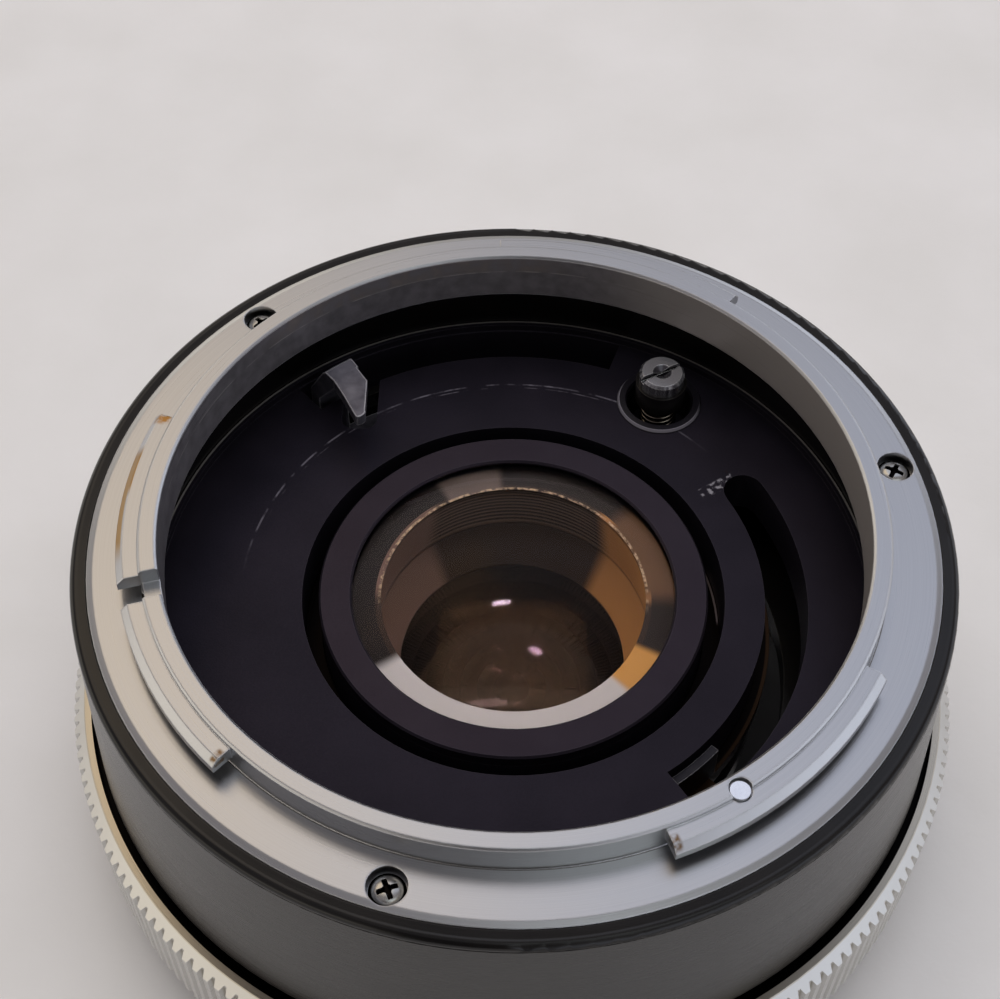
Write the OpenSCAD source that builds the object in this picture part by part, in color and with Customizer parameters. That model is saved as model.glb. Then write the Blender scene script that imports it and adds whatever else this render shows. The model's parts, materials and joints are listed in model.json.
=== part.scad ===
// Two-times teleconverter for a breech-lock bayonet, standing on its rear lens guard.
// Millimetres. The optical axis is Z, the front register face looks up, and Z = 0 is the rest plane.
// Angles are measured from +X, counter-clockwise as seen from the front.

/* [Front mount] */
// Diameter of the throat that takes the rear of a lens
throat_d = 48; // [46:0.5:52]
// Length of the throat wall, from the register face to the underside of the flange
throat_len = 3.94; // [3.8:0.02:4.6]
// Width of the raised ring that carries the register face
register_w = 1.3; // [1.2:0.05:2]
// Height of the raised ring above the flange
register_h = 2.4; // [2.2:0.05:2.8]
// Reach of the bayonet lugs past the raised ring
lug_reach = 1.5; // [1:0.1:1.8]
// Drop from the register face to the top of the lugs
lug_drop = 0.4; // [0.2:0.05:0.5]
// Thickness of the lugs
lug_t = 1.1; // [0.8:0.05:1.2]
// Bevel on the outer edge of the lugs
lug_bevel = 0.5; // [0.1:0.05:0.7]
// Start angle of each lug
lug_from = [52, 162.2, 291.6]; // [0:0.1:360]
// Angle that each lug covers
lug_span = [41.3, 65.3, 40.6]; // [20:0.1:66]
// Width of the flange outside the raised ring
flange_w = 3.73; // [3.6:0.05:5]
// Width of the shallow bevel at the outer edge of the flange
flange_bevel_w = 0.45; // [0.3:0.05:0.6]
// Drop of that bevel
flange_bevel_h = 0.15; // [0.1:0.05:0.3]
// Break on the sharp edges of the raised ring
edge_break = 0.15; // [0.05:0.05:0.2]
// Width of the locating notch
notch_w = 2.1; // [1.6:0.1:3]
// Depth of the locating notch where it crosses the raised ring
notch_ring_depth = 1.3; // [0.8:0.1:1.8]
// Angle of the locating notch
notch_at = 195.9; // [190:0.1:200]

/* [Front screws and dowel] */
// Angle of each screw that holds the front mount
mount_screw_at = [12.9, 135, 254.9]; // [0:0.1:360]
// Distance of the front screws from the rim of the flange
mount_screw_inset = 1.58; // [1.5:0.02:1.9]
// Head diameter of the front screws
mount_screw_head_d = 2.35; // [2:0.05:2.5]
// Head height of the front screws
mount_screw_head_h = 0.6; // [0.5:0.05:0.7]
// Shank diameter of the front screws
mount_screw_d = 1.6; // [1.2:0.1:1.7]
// Length of the front screws under the head
mount_screw_len = 4.6; // [3:0.1:6]
// Depth of the front screw heads below the flange
mount_screw_sink = 0.4; // [0.2:0.05:0.45]
// Diameter of the dowel in the raised ring
dowel_d = 1.3; // [1:0.1:1.4]
// Length of the dowel
dowel_len = 2.6; // [2:0.1:3]
// Depth of the top of the dowel below the register face
dowel_sink = 0.25; // [0.1:0.05:0.5]
// Distance of the dowel's middle inside the edge of the raised ring
dowel_inset = 0.25; // [0.1:0.05:0.5]
// Angle of the dowel
dowel_at = 303.5; // [298:0.5:320]

/* [Body] */
// Distance between the front and the rear register faces
mount_gap = 23.7; // [23.5:0.1:30]
// Step from the throat out to the black wall of the well
well_step = 1.88; // [1.5:0.02:2.2]
// Width of the rounded bead round the flange
bead_w = 1.12; // [0.9:0.02:2]
// Drop from the flange to the lower edge of the bead
bead_h = 0.75; // [0.65:0.05:1.1]
// Radius of the bead's outer rounding
bead_round = 0.48; // [0.3:0.02:0.52]
// Wall of the outer barrel at its front end
barrel_wall = 0.5; // [0.4:0.05:0.6]
// Growth of the outer barrel's radius from front to rear
barrel_flare = 0.77; // [0:0.05:1.5]
// Bevel at the rear edge of the outer barrel
barrel_bevel = 0.3; // [0.1:0.05:0.5]
// Width of the groove between the bead and the outer barrel
barrel_groove = 0.1; // [0.05:0.05:0.3]
// Step from the body tube in to the neck that the breech ring turns on
neck_step = 1.05; // [0.9:0.05:1.4]
// Width of the shoulder that carries the breech ring
neck_shoulder = 1.5; // [1.2:0.1:1.8]
// Thickness of the web that carries the lens cell
web_t = 1.8; // [1.5:0.1:2]
// Depth of the inner wall step under the baffle plate
ledge_w = 1.28; // [1:0.05:1.6]
// Diameter of the painted index dots
dot_d = 1.8; // [1:0.1:2.4]
// Depth of the painted index dots
dot_depth = 0.35; // [0.2:0.05:0.4]
// Angle of the index dots
dot_at = 90; // [80:1:100]
// Distance of the barrel's index dot from the front edge of the barrel
dot_inset = 3; // [2:0.1:5]

/* [Baffle plate] */
// Depth of the baffle plate below the front register face
well_depth = 9.5; // [9.2:0.1:10]
// Thickness of the baffle plate
plate_t = 3.8; // [3.4:0.1:4]
// Width of the raised rim at the edge of the baffle plate
plate_rim_w = 0.43; // [0.3:0.02:0.6]
// Height of that rim
plate_rim_h = 0.62; // [0.3:0.02:1]
// Gap round the lens cell in the middle of the plate
plate_hole_gap = 1.2; // [0.8:0.1:1.6]
// Width of the right-hand slot, for the signal lever of a lens
signal_slot_w = 3.05; // [2.8:0.05:3.4]
// Square end of the signal slot
signal_slot_from = -54.5; // [-58:0.5:-54.5]
// Round end of the signal slot
signal_slot_to = 33; // [31:0.5:38]
// Width of the far slot, for the upright of the stop-down tab
stop_slot_w = 2.8; // [2.6:0.1:3]
// Start angle of the far slot
stop_slot_from = 71.2; // [69:0.2:75]
// End angle of the far slot
stop_slot_to = 132.4; // [132.4:0.2:134]
// Angle at which the notch for the finger leaves the far slot
stop_notch_at = 118.7; // [118:0.1:120]
// Reach of that notch from the far slot
stop_notch_reach = 5; // [4.6:0.1:5.2]
// Width of the notch
stop_notch_w = 2.7; // [2.5:0.1:3]
// Corner radius of the notch
stop_notch_round = 0.9; // [0.5:0.1:1.2]

/* [Lens cell] */
// Diameter of the front glass inside its retaining ring
glass_d = 23.18; // [22:0.1:24]
// Width of the black face of the front retaining ring
front_ring_w = 2.33; // [2:0.05:2.6]
// Thickness of the front retaining ring's face
front_ring_t = 1.1; // [0.8:0.1:1.3]
// Height of the front retaining ring above the baffle plate
front_ring_proud = 0.2; // [0:0.05:0.4]
// Wall of the lens barrel
cell_wall = 1.55; // [1.3:0.05:1.7]
// Thickness of the flange that seats the lens barrel on the web
cell_flange_t = 1; // [0.8:0.1:1.2]
// Reach of that flange past the lens barrel
cell_flange_w = 1.35; // [1:0.05:1.5]
// Reach of the lens barrel behind the web
cell_tail = 9.6; // [9.4:0.1:10]
// Reach of the lens guard past the rear register face
guard_len = 8.3; // [8.1:0.1:10]
// Wall of the lens guard
guard_wall = 1.6; // [1.2:0.1:2]
// Thickness of the guard's flange
guard_flange_t = 1.4; // [1.3:0.1:1.6]
// Reach of the guard's flange past its tube
guard_flange_w = 2.1; // [2:0.05:2.3]
// Head diameter of the guard's screws
guard_screw_head_d = 1.7; // [1.4:0.1:1.8]
// Shank diameter of the guard's screws
guard_screw_d = 1; // [0.8:0.1:1.1]
// Head height of the guard's screws
guard_screw_head_h = 0.6; // [0.4:0.05:0.8]
// Number of the guard's screws
guard_screw_count = 3; // [3:1:4]
// Angle of the first guard screw
guard_screw_at = 150; // [140:1:160]

/* [Glass] */
// Radius of the front element's convex face
front_r1 = 34; // [32:0.5:44]
// Radius of the front element's hollow rear face
front_r2 = 80; // [70:1:120]
// Middle thickness of the front element
front_t = 3; // [2.8:0.05:3.1]
// Depth of the front glass under its retaining ring's face, at the ring's inner edge
front_edge_depth = 0.35; // [0.25:0.05:0.5]
// Rim height of the front element
front_rim = 1.5; // [1.4:0.05:1.7]
// Length of the ridged spacer behind the front element
spacer_len = 7; // [6.8:0.1:7.2]
// Number of ridges in the spacer
spacer_ridges = 9; // [5:1:10]
// Distance from one ridge to the next
ridge_pitch = 0.45; // [0.4:0.05:0.5]
// Depth of the grooves between the ridges
spacer_groove = 0.25; // [0.1:0.05:0.4]
// Width of the spacer's flat front edge, seen through the front element
spacer_edge_w = 1.8; // [1.5:0.1:2]
// Height of the cone at the rear of the spacer
spacer_cone_h = 2.2; // [1.8:0.1:2.4]
// Width of the cone at the rear of the spacer
spacer_cone_w = 1.8; // [1.4:0.1:2]
// Radius of the cemented pair's front face
pair_r1 = 34; // [32:0.5:40]
// Radius of the cemented pair's inner face
pair_r2 = 30; // [28:0.5:40]
// Radius of the cemented pair's hollow rear face
pair_r3 = 34; // [30:0.5:50]
// Rim height of the front half of the pair
pair_front_rim = 1.9; // [1.7:0.02:2]
// Rim height of the rear half of the pair
pair_rear_rim = 5.1; // [5:0.02:5.3]
// Middle thickness of the rear half of the pair
pair_rear_t = 1.4; // [1:0.1:2]
// Width of the ledge between the pair and the rear element
cell_ledge_w = 1.35; // [1:0.05:1.5]
// Thickness of that ledge
cell_ledge_t = 1; // [0.8:0.1:1.2]
// Radius of the rear element's front face
rear_r1 = 60; // [50:1:90]
// Radius of the rear element's rear face
rear_r2 = 45; // [40:1:70]
// Rim height of the rear element
rear_rim = 1.5; // [1.2:0.1:1.7]
// Height of the rear retaining ring
rear_ring_h = 1.5; // [1.2:0.1:1.6]
// Width of the rear retaining ring
rear_ring_w = 1; // [0.7:0.1:1.3]

/* [Control rings] */
// Distance of the lever circle inside the throat
lever_inset = 4.5; // [4.3:0.05:4.6]
// Thickness of the levers
lever_t = 1.2; // [1:0.05:1.3]
// Angle that each lever covers
lever_span = 8.8; // [7:0.2:10]
// Reach of the rear levers past the rear register face
lever_reach = 7.5; // [6:0.1:7.6]
// Thickness of the two control rings
ring_t = 1.2; // [1:0.1:1.3]
// Thickness of the washer between the control rings
washer_t = 0.3; // [0.2:0.05:0.4]
// Room under the control rings for their return springs
spring_room = 2.1; // [2:0.1:2.4]
// Wall of the hub that the lens barrel stands in
hub_wall = 1.33; // [1:0.05:1.5]
// Wire diameter of the return springs
return_wire_d = 0.45; // [0.35:0.05:0.5]
// Middle angle of the signal lever at rest
signal_at = -47.5; // [-48:0.1:-46]
// Turn of the signal ring
signal_turn = 66; // [50:1:68]
// Thickness of the signal tab in the slot
signal_tab_t = 0.6; // [0.4:0.05:0.7]
// Depth of the signal tab's top below the baffle plate
signal_tab_sink = 0.8; // [0.3:0.1:1.5]
// Middle angle of the stop-down lever at rest
stop_at = 121.5; // [120:0.1:123]
// Turn of the stop-down ring
stop_turn = 46; // [35:1:47]
// Thickness of the stop-down tab's sheet
stop_tab_t = 1; // [0.8:0.05:1.1]
// Start angle of the stop-down tab's upright
stop_tab_from = 125.3; // [124.5:0.1:126]
// End angle of the stop-down tab's upright
stop_tab_to = 131.5; // [130:0.1:132]
// Depth of the stop-down finger below the front register face
finger_depth = 5; // [4.6:0.1:5.5]
// Thickness of the stop-down finger
finger_t = 1; // [0.8:0.05:1.2]
// Distance inside the throat where the finger bends down into its leg
finger_root_inset = 1.7; // [1.4:0.1:2]
// Height of the leg's slanting part
finger_slant = 3.6; // [3:0.1:3.8]
// Distance inside the throat where the finger starts to turn aside
finger_step_inset = 4.7; // [4:0.1:5.5]
// Distance of the finger's tip inside the throat
finger_tip_inset = 7; // [6:0.1:7.5]

/* [Signal pin] */
// Distance of the signal pin inside the throat
pin_inset = 2.85; // [2.8:0.05:3.2]
// Angle of the signal pin
pin_at = 58.4; // [57:0.1:59.5]
// Depth of the signal pin's top below the front register face
pin_depth = 6; // [5.8:0.1:6.2]
// Diameter of the slotted head
pin_head_d = 3.46; // [3:0.02:3.6]
// Height of the slotted head
pin_head_h = 1.1; // [1:0.05:1.2]
// Diameter of the black sleeve under the head
pin_sleeve_d = 3.9; // [3.6:0.05:4.1]
// Height of the black sleeve
pin_sleeve_h = 1.75; // [1.5:0.05:1.8]
// Diameter of the pin's rod
pin_rod_d = 1.6; // [1.2:0.05:1.7]
// Width of the screwdriver slot in the head
pin_slot_w = 0.4; // [0.3:0.05:0.6]
// Depth of the screwdriver slot
pin_slot_depth = 0.45; // [0.2:0.05:0.5]
// Reach of the rod past the rear register face
pin_reach = 5.4; // [4.5:0.1:5.5]
// Travel of the signal pin
pin_travel = 2.3; // [1.5:0.1:2.4]
// Rim diameter of the eyelet
eyelet_d = 6.6; // [6.4:0.1:6.8]
// Height of the eyelet's rim above the plate
eyelet_h = 0.3; // [0.2:0.05:0.5]
// Wall of the eyelet
eyelet_wall = 0.4; // [0.3:0.05:0.5]
// Bore of the eyelet
eyelet_bore_d = 5; // [4.8:0.1:5.1]
// Thickness of the eyelet's bottom
eyelet_floor = 0.4; // [0.3:0.05:0.5]
// Wire diameter of the pin's spring
pin_wire_d = 0.32; // [0.25:0.01:0.35]
// Mean diameter of the pin's spring
pin_spring_d = 2.6; // [2.4:0.05:2.8]
// Climb of the pin's spring in one turn
pin_spring_pitch = 0.8; // [0.78:0.01:1]
// Bend radius at the two ends of the pin's spring
pin_spring_bend = 0.32; // [0.25:0.01:0.4]
// Wall of the rod's bush
bush_wall = 0.5; // [0.4:0.05:0.5]
// Outer diameter of the rod's clip
clip_d = 2.6; // [2.4:0.1:2.7]
// Thickness of the rod's clip
clip_t = 0.4; // [0.3:0.05:0.5]

/* [Rear mount] */
// Wall of the collar that enters a camera's throat
collar_wall = 1.3; // [1.1:0.05:1.4]
// Reach of the collar past the rear register face
collar_len = 3.2; // [2.5:0.1:3.5]
// Thickness of the rear mount plate
rear_plate_t = 1; // [0.9:0.05:1.2]
// Reach of the plate's wings past the body's shoulder
wing_reach = 1.1; // [0.9:0.05:1.2]
// Angle that each wing covers
wing_span = 40; // [36:1:60]
// Middle angle of the first wing
wing_at = 194.5; // [192:0.5:197]
// Head diameter of the rear screws
rear_screw_head_d = 2.2; // [1.8:0.1:2.3]
// Shank diameter of the rear screws
rear_screw_d = 1.2; // [1:0.1:1.3]
// Head height of the rear screws
rear_screw_head_h = 0.6; // [0.5:0.05:0.7]
// Length of the rear screws under the head
rear_screw_len = 3; // [2:0.1:4]
// Turn of the rear screws from the middle of their wings
rear_screw_turn = -10; // [-12:0.5:-9]
// Depth of the rear and guard screw heads below their faces
rear_screw_sink = 0.15; // [0.05:0.05:0.3]
// Diameter of the rear locating pin
locating_pin_d = 1.9; // [1.4:0.1:2]
// Reach of the rear locating pin past the rear register face
locating_pin_reach = 1.2; // [0.8:0.1:1.3]

/* [Breech ring] */
// Height of the breech ring
breech_h = 8.25; // [7.8:0.05:9]
// Gap between the outer barrel and the breech ring's rim
breech_rim_gap = 0.42; // [0.3:0.02:0.8]
// Gap between the rear edge of the barrel and the front of the breech ring
breech_front_gap = 0.56; // [0.4:0.02:0.8]
// Width of the ring's flat front rim
breech_rim_w = 0.5; // [0.3:0.05:0.8]
// Width of the bevel outside that rim
breech_bevel = 0.91; // [0.6:0.01:1.2]
// Depth of the groove inside the front rim
breech_recess = 0.95; // [0.6:0.05:1.2]
// Number of knurl teeth
knurl_count = 200; // [120:4:240]
// Depth of the knurl
knurl_depth = 0.42; // [0.2:0.02:0.6]
// Width of a tooth's flat crest, as a share of the pitch
knurl_crest = 0.4; // [0.2:0.05:0.5]
// Width of the flat root between two teeth, as a share of the pitch
knurl_root = 0.2; // [0.1:0.05:0.4]
// Thickness of the ring's inner shoulder
shoulder_t = 1.2; // [1:0.05:1.4]
// Setback of the ring's inner lugs from its rear face
lug_setback = 0.1; // [0.05:0.05:0.2]
// Angle that each of the ring's inner lugs covers
breech_lug_span = 48; // [40:1:52]
// Middle angle of the first inner lug with the ring open
breech_lug_at = 14.5; // [12:0.5:16]
// Turn of the breech ring from open to locked
breech_turn = 57; // [50:1:58]
// Diameter of the stop screw
stop_screw_d = 1; // [0.8:0.1:1.2]
// Reach of the stop screw past the neck
stop_screw_reach = 0.7; // [0.5:0.05:0.8]
// Length of the stop screw inside the neck
stop_screw_hold = 2; // [1.5:0.1:2.4]
// Angle of the stop screw
stop_screw_at = 200; // [180:1:220]

/* [Fits] */
// Radial clearance of a turning or sliding fit
run_fit = 0.05; // [0.03:0.01:0.08]
// Clearance of pieces that are seated for good
seat_fit = 0.02; // [0.01:0.01:0.04]
// Clearance of the collar in a camera's throat
collar_fit = 0.1; // [0.05:0.01:0.15]
// Play between moving faces
play = 0.1; // [0.08:0.01:0.12]
// Room round pieces that pass through slots
slot_room = 0.4; // [0.3:0.05:0.45]

/* [Hidden] */

// Finish colours as the object shows them
chrome_colour = [0.78, 0.78, 0.76];
black_colour = [0.09, 0.09, 0.1];
steel_colour = [0.55, 0.55, 0.56];
brass_colour = [0.66, 0.5, 0.28];
glass_colour = [0.75, 0.62, 0.42, 0.5];
red_colour = [0.7, 0.1, 0.08];

// Fineness of round shapes, and the overlap that makes a cut run clear of a face
round_steps = 128;
small_steps = 32;
cut = 0.5;
full = 360;
half_turn = full / 2;
quarter_turn = full / 4;

// Cross recess of a screw, as shares of its head's width and height
recess_w_share = 0.16;
recess_l_share = 0.62;
recess_h_share = 0.55;

// Levels on the axis, where level(d) lies d below the front register face
total_h = mount_gap + guard_len;
function level(d) = total_h - d;
z_flange = level(register_h);
z_seat = level(throat_len);
z_plate = level(well_depth);
z_plate_low = z_plate - plate_t;
z_signal_top = z_plate_low - 2 * play;
z_signal_low = z_signal_top - ring_t;
z_washer_top = z_signal_low - play;
z_washer_low = z_washer_top - washer_t;
z_stop_top = z_washer_low - play;
z_stop_low = z_stop_top - ring_t;
z_hub = z_stop_low - play;
z_web = z_hub - spring_room;
z_web_low = z_web - web_t;
z_rear = level(mount_gap);
z_rear_plate = z_rear + rear_plate_t;
z_lever_tip = z_rear - lever_reach;

// Radii of the front mount, the body and the barrel
throat_r = throat_d / 2;
register_r = throat_r + register_w;
lug_r = register_r + lug_reach;
flange_r = register_r + flange_w;
well_r = throat_r + well_step;
bead_in = flange_r + run_fit;
bead_r = bead_in + bead_w;
barrel_in = bead_r - barrel_wall;
tube_r = barrel_in - run_fit;
barrel_rear_r = bead_r + barrel_flare;
neck_r = tube_r - neck_step;
nose_r = neck_r - neck_shoulder;
ledge_r = well_r - ledge_w;
mount_screw_r = flange_r - mount_screw_inset;
dowel_hole_r = register_r - dowel_inset;
z_dowel_low = total_h - dowel_sink - dowel_len;
z_bead_top = z_flange - flange_bevel_h;
z_bead_low = z_flange - bead_h;
bead_lip = 0.06;
bead_blend = 0.02;
bead_corner_r = bead_r - bead_round;
z_bead_corner = z_bead_low + bead_lip;
z_barrel_dot = z_bead_low - dot_inset;
barrel_dot_r = bead_r - dot_depth;

// Angle on the lever circle that gives the same room as the slots have in width
slot_turn = 1.5;

// Radii of the lens cell and the control rings
glass_r = glass_d / 2;
cell_r = glass_r + front_ring_w;
seat_r = cell_r - cell_wall;
element_r = seat_r - seat_fit;
plate_hole_r = cell_r + plate_hole_gap;
ring_in = cell_r + run_fit;
hub_r = ring_in + hub_wall;
lever_r = throat_r - lever_inset;
lever_in = lever_r - lever_t / 2;
lever_out = lever_r + lever_t / 2;
signal_slot_in = lever_r - signal_slot_w / 2;
signal_slot_out = lever_r + signal_slot_w / 2;
signal_tab_in = signal_slot_in + slot_room / 2;
signal_ring_r = signal_tab_in + signal_tab_t;
stop_ring_r = lever_in - slot_room - play;
plate_r = well_r - run_fit;
plate_rim_in = plate_r - plate_rim_w;
stop_slot_out = plate_rim_in - play;
stop_slot_in = stop_slot_out - stop_slot_w;
stop_notch_x = stop_slot_in * cos(stop_notch_at);
stop_notch_low = stop_slot_in * sin(stop_notch_at) - stop_notch_reach;
stop_tab_out = ledge_r - slot_room;
stop_tab_in = stop_tab_out - stop_tab_t;
signal_lever_from = signal_at - lever_span / 2;
signal_lever_to = signal_at + lever_span / 2;
stop_lever_from = stop_at - lever_span / 2;
stop_lever_to = stop_at + lever_span / 2;
// Angle between the slot's square end and the signal tab
signal_tab_turn = 1;
signal_tab_from = signal_slot_from + signal_tab_turn;
// Angle that the signal tab covers
signal_tab_span = 12;

// Levels and radii of the stop-down tab: an upright, a slanting leg and a flat finger
z_finger = level(finger_depth);
z_slant = z_finger - finger_slant;
finger_bend = 0.4;
finger_root_r = throat_r - finger_root_inset;
finger_leg_in = finger_root_r - finger_bend - stop_tab_t;
finger_hold_r = finger_leg_in + stop_tab_t / 2;
finger_step_r = throat_r - finger_step_inset;
finger_tip_r = throat_r - finger_tip_inset;
// Angles by which the finger stands in from the leg's edges at its root, or leans past them
finger_root_turn = 0.3;
finger_step_lean = 0.5;
finger_far_step_lean = 0.9;
finger_far_tip_lean = 3;
// The tip is half an oval between the finger's two edges
finger_tip_mid = stop_tab_to + finger_far_tip_lean / 2;
finger_tip_half = finger_far_tip_lean / 2;
finger_tip_round = 0.25;
finger_tip_steps = 6;
finger_tip_points = [for (i = [0 : finger_tip_steps])
    let (a = half_turn * i / finger_tip_steps)
        [finger_tip_r - finger_tip_round * sin(a), finger_tip_mid + finger_tip_half * cos(a)]];
// Outline of the finger as radius and angle pairs, from its root round to its tip and back
finger_points = concat(
    [
        [finger_hold_r, stop_tab_from + finger_root_turn],
        [finger_hold_r, stop_tab_to - finger_root_turn],
        [finger_step_r, stop_tab_to + finger_far_step_lean]
    ],
    finger_tip_points,
    [[finger_step_r, stop_tab_from + finger_step_lean]]
);

// Return springs: open rings of wire that start at their lever and end at a post on the web
return_wire_r = return_wire_d / 2;
post_r = 0.4;
signal_spring_r = hub_r + post_r + 2 * return_wire_r;
stop_spring_r = lever_in - slot_room - 3 * post_r;
z_stop_spring = z_hub - spring_room / 4;
z_signal_spring = z_web + spring_room / 3;
signal_spring_span = 250;
stop_spring_span = 290;
spring_leg_gap = 0.15;
// Posts stand just past the free ends of the return springs
post_turn = 3.4;
signal_post_at = signal_at - signal_spring_span - post_turn;
stop_post_at = stop_at + stop_spring_span + post_turn;

// Signal pin
pin_r = throat_r - pin_inset;
pin_x = pin_r * cos(pin_at);
pin_y = pin_r * sin(pin_at);
z_pin = level(pin_depth);
z_pin_head_low = z_pin - pin_head_h;
z_pin_sleeve_low = z_pin_head_low - pin_sleeve_h;
z_pin_tip = z_rear - pin_reach;
pin_rod_r = pin_rod_d / 2;
pin_rod_hold = pin_head_h / 2;
pin_head_bevel = 0.22;
pin_dimple_r = 0.75;
pin_slot_turn = 28;
eyelet_bore_r = eyelet_bore_d / 2;
eyelet_out = eyelet_bore_r + eyelet_wall;
z_spring_seat = z_plate_low + eyelet_floor;
bush_out = pin_rod_r + run_fit + bush_wall;
bush_proud = 0.2;
z_clip = z_web_low - bush_proud - play;

// Lens elements, from the front
z_front_ring = z_plate + front_ring_proud;
z_cell_top = z_front_ring - front_ring_t;
function sag(radius, r) = radius - sqrt(radius * radius - r * r);
z_front_vertex = z_front_ring - front_edge_depth + sag(front_r1, glass_r);
z_front_back = z_front_vertex - front_t;
z_front_rim_low = z_front_vertex - sag(front_r1, element_r) - front_rim;
z_spacer_low = z_front_rim_low - spacer_len;
spacer_in = seat_r - cell_ledge_w - spacer_edge_w;
spacer_mouth_r = spacer_in - spacer_cone_w;
spacer_mouth_h = 0.2;
ledge_in = seat_r - cell_ledge_w;
pair_rise = sag(pair_r1, spacer_mouth_r);
z_pair_vertex = z_spacer_low + pair_rise;
z_pair_join = z_spacer_low - pair_front_rim;
z_pair_join_vertex = z_pair_join - sag(pair_r2, element_r);
z_pair_low = z_pair_join - pair_rear_rim;
z_pair_back = z_pair_join_vertex - pair_rear_t;
z_cell_ledge_low = z_pair_low - cell_ledge_t;
z_rear_vertex = z_cell_ledge_low + sag(rear_r1, ledge_in);
z_rear_rim_low = z_cell_ledge_low - rear_rim;
z_rear_back = z_rear_rim_low - sag(rear_r2, element_r);
z_rear_ring = z_rear_back + sag(rear_r2, seat_r - rear_ring_w) - seat_fit;
z_cell_flange_low = z_web_low - cell_flange_t;
z_cell_low = z_web_low - cell_tail;
cell_flange_r = cell_r + cell_flange_w;
tail_gap = 0.2;
guard_in = cell_r + tail_gap;
guard_r = guard_in + guard_wall;
guard_flange_r = guard_r + guard_flange_w;
z_guard_flange_low = z_web_low - guard_flange_t;
guard_screw_edge = 0.2;
guard_screw_r = guard_flange_r - guard_screw_head_d / 2 - guard_screw_edge;
guard_edge = 0.3;
guard_screw_tip_gap = 0.36;
guard_screw_hold = web_t - guard_screw_tip_gap;
guard_screw_len = guard_flange_t - rear_screw_sink - guard_screw_head_h + guard_screw_hold;

// Rear mount and breech ring
wing_count = 3;
third = full / wing_count;
collar_r = throat_r - collar_fit;
collar_in = collar_r - collar_wall;
rear_face_r = register_r + play;
wing_r = nose_r + wing_reach;
rear_screw_out = 0.2;
rear_screw_r = rear_face_r + rear_screw_out;
locating_pin_out = 0.5;
locating_pin_r = rear_face_r + locating_pin_out;
locating_pin_hold = 0.8;
z_locating_pin = z_rear_plate + locating_pin_hold;
lug_play = 0.1;
z_breech_lug = z_rear - lug_drop - lug_t - lug_play;
z_breech_low = z_rear - register_h + lug_play;
z_breech_top = z_breech_low + breech_h;
z_barrel_low = z_breech_top + breech_front_gap;
breech_bore_r = neck_r + run_fit;
nose_bore_r = nose_r + play;
z_shoulder_low = z_rear_plate + play;
z_shoulder = z_shoulder_low + shoulder_t;
z_neck_low = z_shoulder + play;
breech_lug_in = register_r + 3 * play;
breech_in = wing_r + slot_room;
breech_rim_in = barrel_rear_r + breech_rim_gap;
breech_rim_out = breech_rim_in + breech_rim_w;
knurl_r = breech_rim_out + breech_bevel;
breech_low_bevel = 0.8;
// Overlap of the inner lugs with the wall that they grow from
lug_root = 0.2;
breech_dot_r = knurl_r - knurl_depth - dot_depth;
z_breech_dot = z_breech_low + breech_h / 2;
stop_groove_half_h = stop_screw_d / 2 + slot_room / 2;
z_stop_screw = (z_shoulder + z_breech_top - breech_recess) / 2;
stop_groove_turn = 1.6;
stop_end_gap = 0.3;

// A ring of square section between two levels
module ring(r_out, r_in, low, high) {
    rotate_extrude($fn = round_steps)
        translate([r_in, low])
            square([r_out - r_in, high - low]);
}

// A part of such a ring between two angles
module arc_ring(r_out, r_in, low, high, from, to) {
    rotate([0, 0, from])
        rotate_extrude(angle = to - from, $fn = round_steps)
            translate([r_in, low])
                square([r_out - r_in, high - low]);
}

// A plain round bar between two levels at a radius and an angle
module bar_at(radius, angle, r, low, high) {
    rotate([0, 0, angle])
        translate([radius, 0, low])
            cylinder(r = r, h = high - low, $fn = small_steps);
}

// A round bar that points outwards from the axis between two radii
module radial_bar(angle, r, from_r, to_r, height) {
    rotate([0, 0, angle])
        translate([from_r, 0, height])
            rotate([0, quarter_turn, 0])
                cylinder(r = r, h = to_r - from_r, $fn = small_steps);
}

// A countersunk-seat screw that points down, with its head's top at Z = 0 and a cross recess
module cross_screw(head_d, head_h, shank_d, shank_len) {
    recess_w = head_d * recess_w_share;
    recess_l = head_d * recess_l_share;
    recess_h = head_h * recess_h_share;
    difference() {
        union() {
            translate([0, 0, -head_h])
                cylinder(d = head_d, h = head_h, $fn = small_steps);
            translate([0, 0, -head_h - shank_len])
                cylinder(d = shank_d, h = shank_len, $fn = small_steps);
        }
        for (turn = [0, quarter_turn])
            rotate([0, 0, turn])
                translate([-recess_l / 2, -recess_w / 2, -recess_h])
                    cube([recess_l, recess_w, recess_h + cut]);
    }
}

// The room that such a screw needs, open above its head, which lies sunk in the face
module screw_room(head_d, head_h, shank_d, shank_len, sink, fit) {
    translate([0, 0, -head_h])
        cylinder(r = head_d / 2 + fit, h = head_h + sink + cut, $fn = small_steps);
    translate([0, 0, -head_h - shank_len])
        cylinder(r = shank_d / 2 + seat_fit, h = shank_len + cut, $fn = small_steps);
}

// Puts a front screw or its room in each of its places
module at_mount_screws() {
    for (angle = mount_screw_at)
        rotate([0, 0, angle])
            translate([mount_screw_r, 0, z_flange - mount_screw_sink])
                children();
}

// Puts a guard screw or its room in each of its places, with its head to the rear
module at_guard_screws() {
    for (i = [0 : guard_screw_count - 1])
        rotate([0, 0, guard_screw_at + i * full / guard_screw_count])
            translate([guard_screw_r, 0, z_guard_flange_low + rear_screw_sink])
                rotate([half_turn, 0, 0])
                    children();
}

// Puts a rear screw or its room in each of its places, with its head to the rear
module at_rear_screws() {
    for (i = [0 : wing_count - 1])
        rotate([0, 0, wing_at + rear_screw_turn + i * third])
            translate([rear_screw_r, 0, z_rear + rear_screw_sink])
                rotate([half_turn, 0, 0])
                    children();
}

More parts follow.
